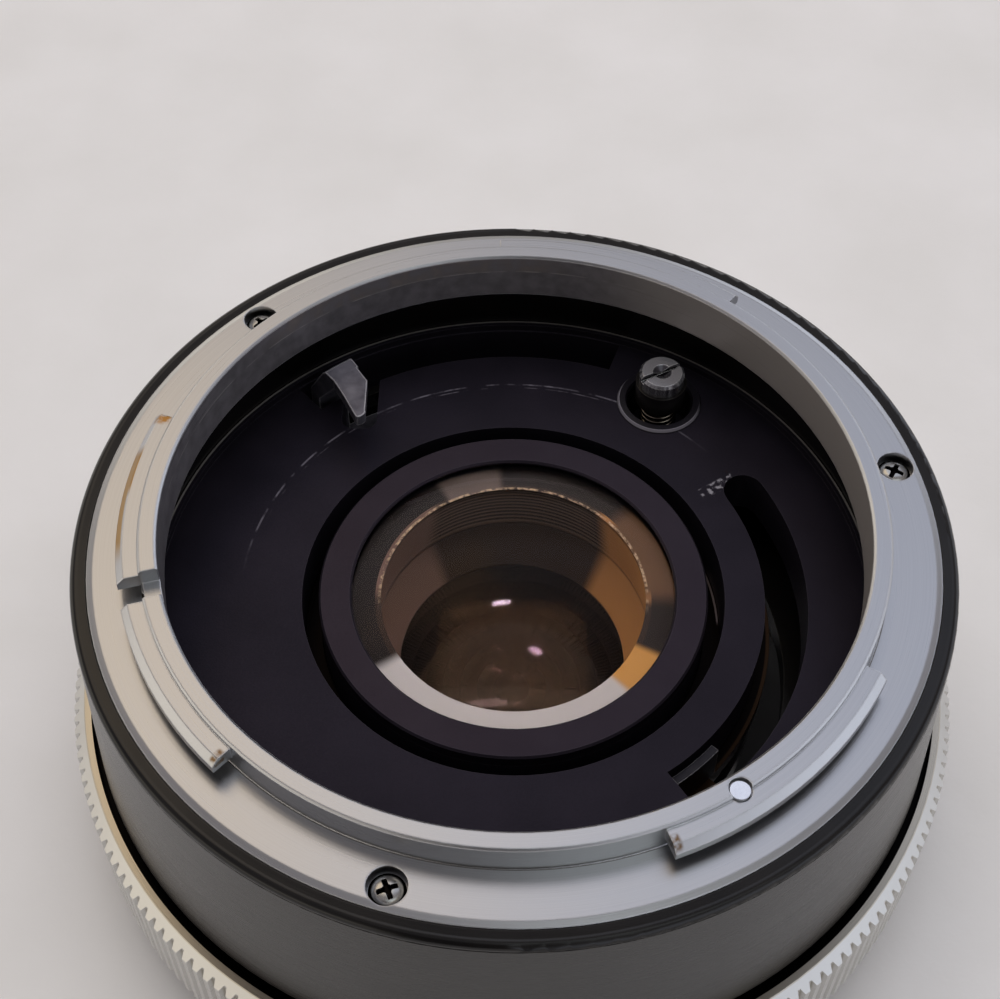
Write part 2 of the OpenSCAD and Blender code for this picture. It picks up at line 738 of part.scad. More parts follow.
// Section of the front mount: raised ring on a flange with a shallow bevel, open throat inside
module mount_section() {
    polygon([
        [throat_r, z_seat], [throat_r, total_h - edge_break], [throat_r + edge_break, total_h],
        [register_r - edge_break, total_h], [register_r, total_h - edge_break],
        [register_r, z_flange], [flange_r - flange_bevel_w, z_flange],
        [flange_r, z_flange - flange_bevel_h], [flange_r, z_seat]
    ]);
}

// Section of one lug, bevelled at its top outer edge and open below
module lug_section() {
    lug_top = total_h - lug_drop;
    polygon([
        [throat_r + register_w / 2, lug_top - lug_t], [throat_r + register_w / 2, lug_top],
        [lug_r - lug_bevel, lug_top], [lug_r, lug_top - lug_bevel], [lug_r, lug_top - lug_t]
    ]);
}

module front_mount() color(chrome_colour) {
    difference() {
        union() {
            rotate_extrude($fn = round_steps)
                mount_section();
            for (i = [0 : len(lug_from) - 1])
                rotate([0, 0, lug_from[i]])
                    rotate_extrude(angle = lug_span[i], $fn = round_steps)
                        lug_section();
        }
        at_mount_screws()
            screw_room(mount_screw_head_d, mount_screw_head_h, mount_screw_d, mount_screw_len,
                mount_screw_sink, play);
        rotate([0, 0, notch_at])
            translate([register_r - edge_break, -notch_w / 2, z_flange])
                cube([lug_reach + cut, notch_w, register_h + cut]);
        rotate([0, 0, notch_at])
            translate([throat_r - cut, -notch_w / 2, total_h - notch_ring_depth])
                cube([register_w + cut, notch_w, notch_ring_depth + cut]);
        bar_at(dowel_hole_r, dowel_at, dowel_d / 2 + play, total_h - 2 * dowel_sink, total_h + cut);
        bar_at(dowel_hole_r, dowel_at, dowel_d / 2 + seat_fit, z_dowel_low, total_h + cut);
    }
}

module mount_screws() color(steel_colour)
    at_mount_screws()
        cross_screw(mount_screw_head_d, mount_screw_head_h, mount_screw_d, mount_screw_len);

module mount_dowel() color(steel_colour)
    bar_at(dowel_hole_r, dowel_at, dowel_d / 2, z_dowel_low, total_h - dowel_sink);

// Section of the main body: rounded bead, well wall, ledge, web, hub and neck
module body_section() {
    polygon([
        [bead_in, z_seat], [bead_in, z_bead_top], [bead_corner_r, z_bead_corner + bead_round - bead_blend],
        [bead_corner_r, z_bead_low], [tube_r, z_bead_low], [tube_r, z_barrel_low],
        [neck_r, z_barrel_low], [neck_r, z_neck_low], [nose_r, z_neck_low], [nose_r, z_rear_plate],
        [collar_in, z_rear_plate], [collar_in, z_web_low], [ring_in, z_web_low],
        [ring_in, z_hub], [hub_r, z_hub], [hub_r, z_web], [ledge_r, z_web],
        [ledge_r, z_plate_low], [well_r, z_plate_low], [well_r, z_seat]
    ]);
    intersection() {
        translate([bead_corner_r, z_bead_corner])
            circle(r = bead_round, $fn = small_steps);
        translate([bead_corner_r - bead_round, z_bead_low])
            square([2 * bead_round, 2 * bead_round]);
    }
}

module main_body() color(black_colour) {
    difference() {
        union() {
            rotate_extrude($fn = round_steps)
                body_section();
            bar_at(signal_spring_r, signal_post_at, post_r, z_web - cut, z_signal_spring + return_wire_r);
            bar_at(stop_spring_r, stop_post_at, post_r, z_web - cut, z_stop_spring + return_wire_r);
        }
        at_mount_screws()
            screw_room(mount_screw_head_d, mount_screw_head_h, mount_screw_d, mount_screw_len,
                mount_screw_sink, play);
        at_guard_screws()
            screw_room(guard_screw_head_d, guard_screw_head_h, guard_screw_d, guard_screw_len,
                rear_screw_sink, play);
        at_rear_screws()
            screw_room(rear_screw_head_d, rear_screw_head_h, rear_screw_d, rear_screw_len,
                rear_screw_sink, play);
        arc_ring(lever_out + slot_room, lever_in - slot_room, z_web_low - cut, z_web + cut,
            signal_lever_from - slot_turn, signal_lever_to + signal_turn + slot_turn);
        arc_ring(lever_out + slot_room, lever_in - slot_room, z_web_low - cut, z_web + cut,
            stop_lever_from - stop_turn - slot_turn, stop_lever_to + slot_turn);
        bar_at(pin_r, pin_at, bush_out + seat_fit, z_web_low - cut, z_web + cut);
        bar_at(locating_pin_r, notch_at, locating_pin_d / 2 + seat_fit, z_rear, z_locating_pin);
        radial_bar(stop_screw_at, stop_screw_d / 2 + seat_fit, neck_r - stop_screw_hold,
            neck_r + cut, z_stop_screw);
    }
}

module outer_barrel() color(black_colour) {
    barrel_top = z_bead_low - barrel_groove;
    difference() {
        rotate_extrude($fn = round_steps)
            polygon([
                [barrel_in, z_barrel_low], [barrel_in, barrel_top], [bead_r, barrel_top],
                [barrel_rear_r, z_barrel_low + barrel_bevel],
                [barrel_rear_r - barrel_bevel, z_barrel_low]
            ]);
        radial_bar(dot_at, dot_d / 2, barrel_dot_r, barrel_rear_r + cut, z_barrel_dot);
    }
}

module barrel_dot() color(red_colour)
    radial_bar(dot_at, dot_d / 2 - seat_fit, barrel_dot_r, bead_r, z_barrel_dot);

// Outline of the notch that lets the finger through: open to the far slot, with two round corners
module stop_notch_outline() {
    far_x = stop_notch_x - stop_notch_w;
    // The open end lies inside the slot
    open_r = stop_slot_in + stop_slot_w / 3;
    corner_y = stop_notch_low + stop_notch_round;
    corner_steps = 6;
    function corner(x, from) = [for (i = [0 : corner_steps])
        let (a = from - quarter_turn * i / corner_steps)
            [x + stop_notch_round * cos(a), corner_y + stop_notch_round * sin(a)]];
    polygon(concat(
        [[stop_notch_x, sqrt(open_r * open_r - stop_notch_x * stop_notch_x)]],
        corner(stop_notch_x - stop_notch_round, 0),
        corner(far_x + stop_notch_round, -quarter_turn),
        [[far_x, sqrt(open_r * open_r - far_x * far_x)]]
    ));
}

module baffle_plate() color(black_colour) {
    round_r = signal_slot_w / 2 - seat_fit;
    round_turn = asin(round_r / lever_r);
    difference() {
        union() {
            ring(plate_r, plate_hole_r, z_plate_low, z_plate);
            ring(plate_r, plate_rim_in, z_plate, z_plate + plate_rim_h);
        }
        arc_ring(signal_slot_out, signal_slot_in, z_plate_low - cut, z_plate + cut,
            signal_slot_from, signal_slot_to - round_turn);
        bar_at(lever_r, signal_slot_to - round_turn, round_r, z_plate_low - cut, z_plate + cut);
        arc_ring(stop_slot_out, stop_slot_in, z_plate_low - cut, z_plate + cut,
            stop_slot_from, stop_slot_to);
        translate([0, 0, z_plate_low - cut])
            linear_extrude(plate_t + 2 * cut)
                stop_notch_outline();
        bar_at(pin_r, pin_at, eyelet_out + seat_fit, z_plate_low - cut, z_plate + cut);
    }
}

module lens_barrel() color(black_colour)
    rotate_extrude($fn = round_steps)
        polygon([
            [seat_r, z_cell_top], [cell_r, z_cell_top], [cell_r, z_web_low],
            [cell_flange_r, z_web_low], [cell_flange_r, z_cell_flange_low],
            [cell_r, z_cell_flange_low], [cell_r, z_cell_low], [seat_r, z_cell_low],
            [seat_r, z_cell_ledge_low], [ledge_in, z_cell_ledge_low], [ledge_in, z_pair_low],
            [seat_r, z_pair_low]
        ]);

// The front ring sits on the lens barrel, and its lip ends on the glass at the edge of the clear opening
module front_retaining_ring() color(black_colour) {
    lip_low = z_front_ring - front_edge_depth + seat_fit;
    rotate_extrude($fn = round_steps)
        polygon([
            [glass_r, lip_low], [glass_r, z_front_ring - edge_break],
            [glass_r + edge_break, z_front_ring], [cell_r - edge_break, z_front_ring],
            [cell_r, z_front_ring - edge_break], [cell_r, z_cell_top], [seat_r, z_cell_top],
            [seat_r, lip_low]
        ]);
}

// Convex in front and hollow behind
module front_element() color(glass_colour)
    difference() {
        intersection() {
            translate([0, 0, z_front_rim_low])
                cylinder(r = element_r, h = z_front_vertex - z_front_rim_low + cut, $fn = round_steps);
            translate([0, 0, z_front_vertex - front_r1])
                sphere(r = front_r1, $fn = round_steps);
        }
        translate([0, 0, z_front_back - front_r2])
            sphere(r = front_r2, $fn = round_steps);
    }

// A tube with a flat front edge, sharp ridges in its front half and a cone that ends on the cemented pair
module ridged_spacer() color(black_colour) {
    ridges = [for (i = [1 : spacer_ridges], p = [[spacer_groove, 1 / 2], [0, 0]])
        [spacer_in + p[0], z_front_rim_low - (i - p[1]) * ridge_pitch - ridge_pitch]];
    rotate_extrude($fn = round_steps)
        polygon(concat(
            [
                [spacer_mouth_r, z_spacer_low], [element_r, z_spacer_low], [element_r, z_front_rim_low],
                [spacer_in, z_front_rim_low], [spacer_in, z_front_rim_low - ridge_pitch]
            ],
            ridges,
            [[spacer_in, z_spacer_low + spacer_cone_h], [spacer_mouth_r, z_spacer_low + spacer_mouth_h]]
        ));
}

// Convex on both faces
module pair_front_element() color(glass_colour)
    intersection() {
        translate([0, 0, z_pair_join_vertex - cut])
            cylinder(r = element_r, h = z_spacer_low + 2 * pair_rise - z_pair_join_vertex + cut,
                $fn = round_steps);
        translate([0, 0, z_pair_vertex - pair_r1])
            sphere(r = pair_r1, $fn = round_steps);
        translate([0, 0, z_pair_join_vertex + pair_r2])
            sphere(r = pair_r2, $fn = round_steps);
    }

// Hollow on both faces, cemented to the front half of the pair
module pair_rear_element() color(glass_colour)
    difference() {
        translate([0, 0, z_pair_low])
            cylinder(r = element_r, h = z_pair_join - z_pair_low, $fn = round_steps);
        translate([0, 0, z_pair_join_vertex + pair_r2])
            sphere(r = pair_r2, $fn = round_steps);
        translate([0, 0, z_pair_back - pair_r3])
            sphere(r = pair_r3, $fn = round_steps);
    }

// Convex on both faces
module rear_element() color(glass_colour)
    intersection() {
        translate([0, 0, z_rear_back - cut])
            cylinder(r = element_r, h = z_rear_vertex - z_rear_back + 2 * cut, $fn = round_steps);
        translate([0, 0, z_rear_vertex - rear_r1])
            sphere(r = rear_r1, $fn = round_steps);
        translate([0, 0, z_rear_back + rear_r2])
            sphere(r = rear_r2, $fn = round_steps);
    }

module rear_retaining_ring() color(black_colour)
    ring(element_r, seat_r - rear_ring_w, z_rear_ring - rear_ring_h, z_rear_ring);

// The upper ring, with an arm over its rear lever
module signal_ring() color(brass_colour)
    union() {
        ring(signal_ring_r, ring_in, z_signal_low, z_signal_top);
        arc_ring(lever_out, signal_ring_r - cut, z_signal_low, z_signal_top,
            signal_lever_from, signal_lever_to);
    }

module signal_tab() color(steel_colour)
    arc_ring(signal_ring_r, signal_tab_in, z_signal_top, z_plate - signal_tab_sink,
        signal_tab_from, signal_tab_from + signal_tab_span);

module signal_lever() color(steel_colour)
    arc_ring(lever_out, lever_in, z_lever_tip, z_signal_low, signal_lever_from, signal_lever_to);

// The lower ring, with an arm out to the upright of its tab
module stop_down_ring() color(steel_colour)
    union() {
        ring(stop_ring_r, ring_in, z_stop_low, z_stop_top);
        arc_ring(stop_tab_out, stop_ring_r - cut, z_stop_low, z_stop_top, stop_lever_from, stop_tab_to);
    }

// A sheet upright in the far slot that slants inwards above the plate and ends in a pointed flat finger
module stop_down_tab() color(steel_colour) {
    union() {
        rotate([0, 0, stop_tab_from])
            rotate_extrude(angle = stop_tab_to - stop_tab_from, $fn = round_steps)
                polygon([
                    [stop_tab_in, z_stop_top], [stop_tab_out, z_stop_top], [stop_tab_out, z_slant],
                    [finger_root_r, z_finger - finger_bend], [finger_root_r - finger_bend, z_finger],
                    [finger_leg_in, z_finger], [finger_leg_in, z_finger - finger_t],
                    [stop_tab_in, z_slant - finger_t / 2]
                ]);
        translate([0, 0, z_finger - finger_t])
            linear_extrude(finger_t)
                polygon([for (p = finger_points) p[0] * [cos(p[1]), sin(p[1])]]);
    }
}

module stop_down_lever() color(steel_colour)
    arc_ring(lever_out, lever_in, z_lever_tip, z_stop_low, stop_lever_from, stop_lever_to);

// An open ring of wire with a straight leg that reaches out to its lever
module return_spring(radius, height, from, span) {
    leg_end = lever_in - spring_leg_gap;
    translate([0, 0, height]) {
        rotate([0, 0, from])
            rotate_extrude(angle = span, $fn = round_steps)
                translate([radius, 0])
                    circle(r = return_wire_r, $fn = small_steps);
        radial_bar(from, return_wire_r, radius, leg_end, 0);
    }
}

module signal_return_spring() color(steel_colour)
    rotate([0, 0, signal_at])
        mirror([0, 1, 0])
            return_spring(signal_spring_r, z_signal_spring, 0, signal_spring_span);

module stop_down_return_spring() color(steel_colour)
    return_spring(stop_spring_r, z_stop_spring, stop_at, stop_spring_span);

module ring_washer() color(brass_colour)
    ring(stop_ring_r - play, ring_in, z_washer_low, z_washer_top);

// A flanged cup set in the baffle plate, with a hole for the rod in its bottom
module pin_eyelet() color(black_colour)
    translate([pin_x, pin_y, 0])
        rotate_extrude($fn = round_steps)
            polygon([
                [pin_rod_r + 2 * run_fit, z_plate_low], [eyelet_out, z_plate_low], [eyelet_out, z_plate],
                [eyelet_d / 2, z_plate], [eyelet_d / 2 - eyelet_h / 2, z_plate + eyelet_h],
                [eyelet_bore_r + eyelet_h / 2, z_plate + eyelet_h],
                [eyelet_bore_r, z_plate], [eyelet_bore_r, z_spring_seat],
                [pin_rod_r + 2 * run_fit, z_spring_seat]
            ]);

// A bevelled cap with a screwdriver slot and a dimple
module pin_head() color(steel_colour)
    translate([pin_x, pin_y, 0])
        difference() {
            rotate_extrude($fn = round_steps)
                polygon([
                    [0, z_pin_head_low + pin_rod_hold], [pin_rod_r + seat_fit, z_pin_head_low + pin_rod_hold],
                    [pin_rod_r + seat_fit, z_pin_head_low], [pin_head_d / 2, z_pin_head_low],
                    [pin_head_d / 2, z_pin - pin_head_bevel], [pin_head_d / 2 - pin_head_bevel, z_pin],
                    [pin_dimple_r, z_pin], [0, z_pin - pin_slot_depth]
                ]);
            rotate([0, 0, pin_slot_turn])
                translate([-pin_head_d, -pin_slot_w / 2, z_pin - pin_slot_depth])
                    cube([2 * pin_head_d, pin_slot_w, pin_slot_depth + cut]);
        }

module pin_sleeve() color(black_colour)
    translate([pin_x, pin_y, 0])
        ring(pin_sleeve_d / 2, pin_rod_r + seat_fit, z_pin_sleeve_low, z_pin_head_low);

module pin_rod() color(steel_colour)
    bar_at(pin_r, pin_at, pin_rod_r, z_pin_tip, z_pin_head_low + pin_rod_hold);

// The pin's spring is drawn flat, as length along the coil and height, and then wound round the rod.
// It leaves both seats square, bends into the climb and makes as many turns as the height allows.
pin_wire_r = pin_wire_d / 2;
pin_coil_r = pin_spring_d / 2;
coil_length = 2 * PI * pin_coil_r;
climb_angle = atan(pin_spring_pitch / coil_length);
spring_h = z_pin_sleeve_low - z_spring_seat;
bend_turn = quarter_turn - climb_angle;
bend_rise = pin_spring_bend * sin(bend_turn);
bend_run = pin_spring_bend * (1 - cos(bend_turn));
climb_h = spring_h - 2 * (pin_wire_d + bend_rise);
climb_run = climb_h / tan(climb_angle);
spring_run = climb_run + 2 * bend_run;
bend_steps = 4;
rings_per_turn = 8;
climb_steps = ceil(climb_run / coil_length * rings_per_turn);
wire_sides = 6;
low_bend = [for (i = [0 : bend_steps])
    let (a = bend_turn * i / bend_steps)
        [pin_spring_bend * (1 - cos(a)), pin_wire_d + pin_spring_bend * sin(a), a]];
climb = [for (i = [1 : climb_steps - 1])
    let (s = i / climb_steps)
        [bend_run + s * climb_run, pin_wire_d + bend_rise + s * climb_h, bend_turn]];
high_bend = [for (i = [bend_steps : -1 : 0])
    let (p = low_bend[i])
        [spring_run - p[0], spring_h - p[1], p[2]]];
flat_path = concat([[0, 0, 0]], low_bend, climb, high_bend, [[spring_run, spring_h, 0]]);
function wound(length_along, height) =
    let (a = length_along / pin_coil_r * half_turn / PI)
        [pin_coil_r * cos(a), pin_coil_r * sin(a), height];
spring_path = [for (p = flat_path) wound(p[0], p[1])];
// Each ring of wire lies square to the path: one of its axes is radial, the other is set by the lean
wire_points = [for (p = flat_path, k = [0 : wire_sides - 1])
    let (
        a = p[0] / pin_coil_r * half_turn / PI,
        w = full * k / wire_sides,
        outward = pin_wire_r * cos(w),
        across = pin_wire_r * sin(w),
        along = -across * cos(p[2]),
        up = across * sin(p[2])
    )
        [
            (pin_coil_r + outward) * cos(a) - along * sin(a),
            (pin_coil_r + outward) * sin(a) + along * cos(a),
            p[1] + up
        ]];
last_ring = (len(flat_path) - 1) * wire_sides;
wire_faces = concat(
    [for (k = [1 : wire_sides - 2]) [0, k + 1, k]],
    [for (i = [0 : len(flat_path) - 2], k = [0 : wire_sides - 1], f = [0, 1])
        let (
            a = i * wire_sides + k,
            b = i * wire_sides + (k + 1) % wire_sides
        )
            f == 0 ? [a, b, b + wire_sides] : [a, b + wire_sides, a + wire_sides]],
    [for (k = [1 : wire_sides - 2]) [last_ring, last_ring + k, last_ring + k + 1]]
);
// The least gap of the wire to itself, measured between points at least three quarters of a turn apart
self_gaps = [for (i = [0 : len(flat_path) - 1], j = [i + 1 : 1 : len(flat_path) - 1])
    if (flat_path[j][0] - flat_path[i][0] > coil_length - coil_length / 4)
        norm(spring_path[i] - spring_path[j]) - pin_wire_d];
echo(pin_spring_least_gap = min(self_gaps), pin_spring_turns = spring_run / coil_length);

module pin_spring() color(brass_colour)
    translate([pin_x, pin_y, z_spring_seat])
        polyhedron(wire_points, wire_faces);

module pin_bush() color(brass_colour)
    translate([pin_x, pin_y, 0])
        ring(bush_out, pin_rod_r + run_fit, z_web_low - bush_proud, z_web + bush_proud);

module pin_clip() color(steel_colour)
    translate([pin_x, pin_y, 0])
        ring(clip_d / 2, pin_rod_r + seat_fit, z_clip - clip_t, z_clip);

module lens_guard() color(black_colour)
    difference() {
        rotate_extrude($fn = round_steps)
            polygon([
                [cell_flange_r + seat_fit, z_web_low], [guard_flange_r, z_web_low],
                [guard_flange_r, z_guard_flange_low], [guard_r, z_guard_flange_low],
                [guard_r, guard_edge], [guard_r - guard_edge, 0], [guard_in + guard_edge, 0],
                [guard_in, guard_edge], [guard_in, z_cell_flange_low],
                [cell_flange_r + seat_fit, z_cell_flange_low]
            ]);
        at_guard_screws()
            screw_room(guard_screw_head_d, guard_screw_head_h, guard_screw_d, guard_screw_len,
                rear_screw_sink, play);
    }

module guard_screws() color(steel_colour)
    at_guard_screws()
        cross_screw(guard_screw_head_d, guard_screw_head_h, guard_screw_d, guard_screw_len);

// Register face with three wings, and the collar that enters a camera's throat
module rear_mount() color(chrome_colour)
    difference() {
        union() {
            ring(rear_face_r, collar_in, z_rear, z_rear_plate);
            for (i = [0 : wing_count - 1])
                arc_ring(wing_r, rear_face_r - cut, z_rear, z_rear_plate,
                    wing_at - wing_span / 2 + i * third, wing_at + wing_span / 2 + i * third);
            ring(collar_r, collar_in, z_rear - collar_len, z_rear);
        }
        at_rear_screws()
            screw_room(rear_screw_head_d, rear_screw_head_h, rear_screw_d, rear_screw_len,
                rear_screw_sink, play);
        bar_at(locating_pin_r, notch_at, locating_pin_d / 2 + seat_fit, z_rear - cut, z_locating_pin);
    }

module rear_screws() color(steel_colour)
    at_rear_screws()
        cross_screw(rear_screw_head_d, rear_screw_head_h, rear_screw_d, rear_screw_len);

module locating_pin() color(steel_colour)
    bar_at(locating_pin_r, notch_at, locating_pin_d / 2, z_rear - locating_pin_reach, z_locating_pin);

// Section of the breech ring: bevelled rim, groove behind the barrel, bore, shoulder and rear mouth.
// Its outer wall stands clear of the knurl, which sets the ring's size
module breech_section() {
    polygon([
        [breech_bore_r, z_shoulder], [breech_bore_r, z_breech_top - breech_recess],
        [breech_rim_in, z_breech_top - breech_recess], [breech_rim_in, z_breech_top],
        [breech_rim_out, z_breech_top], [knurl_r + cut, z_breech_top - breech_bevel - cut],
        [knurl_r + cut, z_breech_low + breech_low_bevel + cut], [knurl_r - breech_low_bevel, z_breech_low],
        [breech_in, z_breech_low], [breech_in, z_shoulder_low], [nose_bore_r, z_shoulder_low],
        [nose_bore_r, z_shoulder]
    ]);
}

// Straight teeth all round, each with a flat crest, two flanks and a flat root
module knurl_outline() {
    step = full / knurl_count;
    root_r = knurl_r - knurl_depth;
    crest_half = knurl_crest * step / 2;
    root_half = knurl_root * step / 2;
    tooth = [[knurl_r, -crest_half], [knurl_r, crest_half],
        [root_r, step / 2 - root_half], [root_r, step / 2 + root_half]];
    polygon([for (i = [0 : knurl_count - 1], p = tooth)
        p[0] * [cos(i * step + p[1]), sin(i * step + p[1])]]);
}

module breech_ring() color(chrome_colour)
    intersection() {
        difference() {
            union() {
                rotate_extrude($fn = round_steps)
                    breech_section();
                for (i = [0 : wing_count - 1])
                    arc_ring(breech_in + lug_root, breech_lug_in, z_breech_low + lug_setback, z_breech_lug,
                        breech_lug_at - breech_lug_span / 2 + i * third,
                        breech_lug_at + breech_lug_span / 2 + i * third);
            }
            arc_ring(neck_r + stop_screw_reach + stop_end_gap, breech_bore_r - cut,
                z_stop_screw - stop_groove_half_h, z_stop_screw + stop_groove_half_h,
                stop_screw_at - stop_groove_turn, stop_screw_at + breech_turn + stop_groove_turn);
            radial_bar(dot_at, dot_d / 2, breech_dot_r, knurl_r + 2 * cut, z_breech_dot);
        }
        translate([0, 0, z_breech_low - cut])
            linear_extrude(breech_h + 2 * cut)
                knurl_outline();
    }

module breech_dot() color(red_colour)
    radial_bar(dot_at, dot_d / 2 - seat_fit, breech_dot_r, knurl_r - knurl_depth, z_breech_dot);

module breech_stop_screw() color(steel_colour)
    radial_bar(stop_screw_at, stop_screw_d / 2, neck_r - stop_screw_hold, neck_r + stop_screw_reach,
        z_stop_screw);

front_mount();
mount_screws();
mount_dowel();
main_body();
outer_barrel();
barrel_dot();
baffle_plate();
lens_barrel();
front_retaining_ring();
front_element();
ridged_spacer();
pair_front_element();
pair_rear_element();
rear_element();
rear_retaining_ring();
signal_ring();
signal_tab();
signal_lever();
signal_return_spring();
ring_washer();
stop_down_ring();
stop_down_tab();
stop_down_lever();
stop_down_return_spring();
pin_eyelet();
pin_head();
pin_sleeve();
pin_rod();
pin_spring();
pin_bush();
pin_clip();
lens_guard();
guard_screws();
rear_mount();
rear_screws();
locating_pin();
breech_ring();
breech_dot();
breech_stop_screw();
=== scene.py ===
"""Finishes of a camera teleconverter: satin chrome mounts, black anodised body, amber-coated glass.

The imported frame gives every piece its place. This script adds the finish of each piece, domed cross-recess
screws, the wound spring of the signal pin, a pale table, soft studio light and the camera.
"""

import json
import math

import bmesh
import bpy
import numpy as np
from mathutils import Matrix, Vector

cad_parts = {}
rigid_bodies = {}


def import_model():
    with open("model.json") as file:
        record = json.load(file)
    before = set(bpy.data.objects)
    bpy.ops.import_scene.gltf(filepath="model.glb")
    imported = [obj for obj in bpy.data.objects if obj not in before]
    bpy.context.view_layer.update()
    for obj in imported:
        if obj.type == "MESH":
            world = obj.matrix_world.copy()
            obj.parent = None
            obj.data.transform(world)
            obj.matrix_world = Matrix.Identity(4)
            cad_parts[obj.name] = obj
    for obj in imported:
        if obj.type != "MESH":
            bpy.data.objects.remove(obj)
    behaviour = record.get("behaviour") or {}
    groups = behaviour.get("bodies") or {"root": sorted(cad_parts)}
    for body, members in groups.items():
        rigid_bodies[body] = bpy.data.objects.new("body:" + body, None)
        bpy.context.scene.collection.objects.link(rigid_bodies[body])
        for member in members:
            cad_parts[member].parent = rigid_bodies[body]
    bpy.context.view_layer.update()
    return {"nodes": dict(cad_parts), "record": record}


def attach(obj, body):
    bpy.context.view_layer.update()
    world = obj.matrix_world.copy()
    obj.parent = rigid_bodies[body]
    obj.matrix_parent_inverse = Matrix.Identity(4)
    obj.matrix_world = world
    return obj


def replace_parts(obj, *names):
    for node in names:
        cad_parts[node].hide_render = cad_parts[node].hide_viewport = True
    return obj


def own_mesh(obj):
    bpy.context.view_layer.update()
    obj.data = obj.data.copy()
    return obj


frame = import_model()

MM = 0.001
NODES = frame["nodes"]

# Sizes in millimetres, measured from the optical axis and from the rest plane
# Front mount
REGISTER_Z = 32.0
REGISTER_R = 25.3
THROAT_R = 24.0
FLANGE_Z = 29.6
LUG_R = 26.8
LUG_WORN_Z = 30.9
# Baffle plate, with its outer rim and the circles that levers have rubbed on it
PLATE_Z = 22.5
PLATE_RIM_R = 25.7
RUB_OUT_R = 19.5
RUB_IN_R = 19.2
# Ridged spacer
SPACER_TOP_Z = 20.57
SPACER_IN_R = 9.22
SPACER_RIDGES_Z = (15.9, 20.2)
SPACER_WALL_Z = (13.8, 20.6)
# Control rings
CONTROL_RIM_R = (18.55, 20.2)
# radii of a short arc painted pale as a painted highlight
CONTROL_GLINT_R = (14.95, 15.05)
# Breech ring
BREECH_TOP_Z = 14.25
BREECH_RIM_IN_R = 31.39
KNURL_ROOT_R = 32.38
KNURL_Z = (6.6, 13.4)
# Signal pin, its head, its eyelet and its spring
PIN_XY = (11.082, 18.014)
PIN_TOP_Z = 26.0
PIN_SIDE_R = (1.60, 1.80)
PIN_SLOT_R = 1.50
PIN_DIMPLE_R = 0.66
EYELET_R = 3.3
SPRING_LOW = 19.1
SPRING_HIGH = 23.15
SPRING_R = 1.3
SPRING_WIRE_R = 0.16
SPRING_TURNS = 8
# Heights where the screws are painted near black, as grime and painted shade in their recesses and low on
# their heads, in the mount, the guard and the rear mount, and their fades
SCREW_GRIME_AND_SHADE_Z = ((20.0, 28.93, 0.07), (10.70, 14.0, 0.06), (8.80, 9.70, 0.06))


# Helpers for nodes

def linear(code):
    """Linear RGBA of an sRGB hex colour: the inverse of the sRGB curve on each channel."""
    channels = [int(code[i:i + 2], 16) / 255 for i in (1, 3, 5)]
    return [c / 12.92 if c <= 0.04045 else ((c + 0.055) / 1.055) ** 2.4 for c in channels] + [1.0]


def add(tree, kind, settings=None, inputs=None):
    """Adds a node, sets its properties, and sets its inputs to values or links them to nodes or sockets."""
    node = tree.nodes.new(kind)
    for name, value in (settings or {}).items():
        setattr(node, name, value)
    for key, value in (inputs or {}).items():
        if isinstance(value, bpy.types.Node):
            value = next(s for s in value.outputs if s.enabled)
        if isinstance(value, bpy.types.NodeSocket):
            tree.links.new(value, node.inputs[key])
        else:
            node.inputs[key].default_value = value
    return node


def finish(name, build):
    """A material whose node tree is made by build, a function that takes the tree and returns its shader."""
    material = bpy.data.materials.new(name)
    material.use_nodes = True
    tree = material.node_tree
    tree.nodes.clear()
    add(tree, "ShaderNodeOutputMaterial", None, {"Surface": build(tree)})
    return material


def place(tree, zero=0.0, centre=(0.0, 0.0)):
    """Radius and height in millimetres, and angle in degrees from the direction zero, about an upright axis.

    The axis is the optical one, or stands at centre, in millimetres."""
    point = add(tree, "ShaderNodeTexCoord").outputs["Object"]
    middle = (centre[0] * MM, centre[1] * MM, 0)
    turned = add(tree, "ShaderNodeVectorRotate", {"rotation_type": "Z_AXIS"},
                 {"Vector": point, "Center": middle, "Angle": math.radians(-zero)})
    turned = add(tree, "ShaderNodeVectorMath", {"operation": "SUBTRACT"}, {0: turned, 1: middle})
    scaled = add(tree, "ShaderNodeVectorMath", {"operation": "SCALE"}, {0: turned, "Scale": 1 / MM})
    parts = add(tree, "ShaderNodeSeparateXYZ", None, {0: scaled})
    flat = add(tree, "ShaderNodeVectorMath", {"operation": "MULTIPLY"}, {0: scaled, 1: (1, 1, 0)})
    radius = add(tree, "ShaderNodeVectorMath", {"operation": "LENGTH"}, {0: flat}).outputs["Value"]
    turn = add(tree, "ShaderNodeMath", {"operation": "ARCTAN2"}, {0: parts.outputs[1], 1: parts.outputs[0]})
    angle = add(tree, "ShaderNodeMath", {"operation": "MULTIPLY"}, {0: turn, 1: math.degrees(1)})
    return radius, angle.outputs[0], parts.outputs[2]


def between(tree, value, low, high, soft):
    """A mask that is 1 while value lies between low and high and fades out over soft on both sides."""
    rise = add(tree, "ShaderNodeMapRange", {"interpolation_type": "SMOOTHSTEP"},
               {"Value": value, "From Min": low - soft, "From Max": low})
    fall = add(tree, "ShaderNodeMapRange", {"interpolation_type": "SMOOTHSTEP"},
               {"Value": value, "From Min": high + soft, "From Max": high})
    return add(tree, "ShaderNodeMath", {"operation": "MULTIPLY"}, {0: rise, 1: fall})


def paint(tree, base, *layers):
    """Lays colours over a base. A layer is a colour and its masks, and covers where all of them are 1."""
    colour = linear(base)
    for over, *masks in layers:
        cover = masks[0]
        for mask in masks[1:]:
            cover = add(tree, "ShaderNodeMath", {"operation": "MULTIPLY"}, {0: cover, 1: mask})
        colour = add(tree, "ShaderNodeMix", {"data_type": "RGBA"}, {0: cover, 6: colour, 7: linear(over)})
    return colour


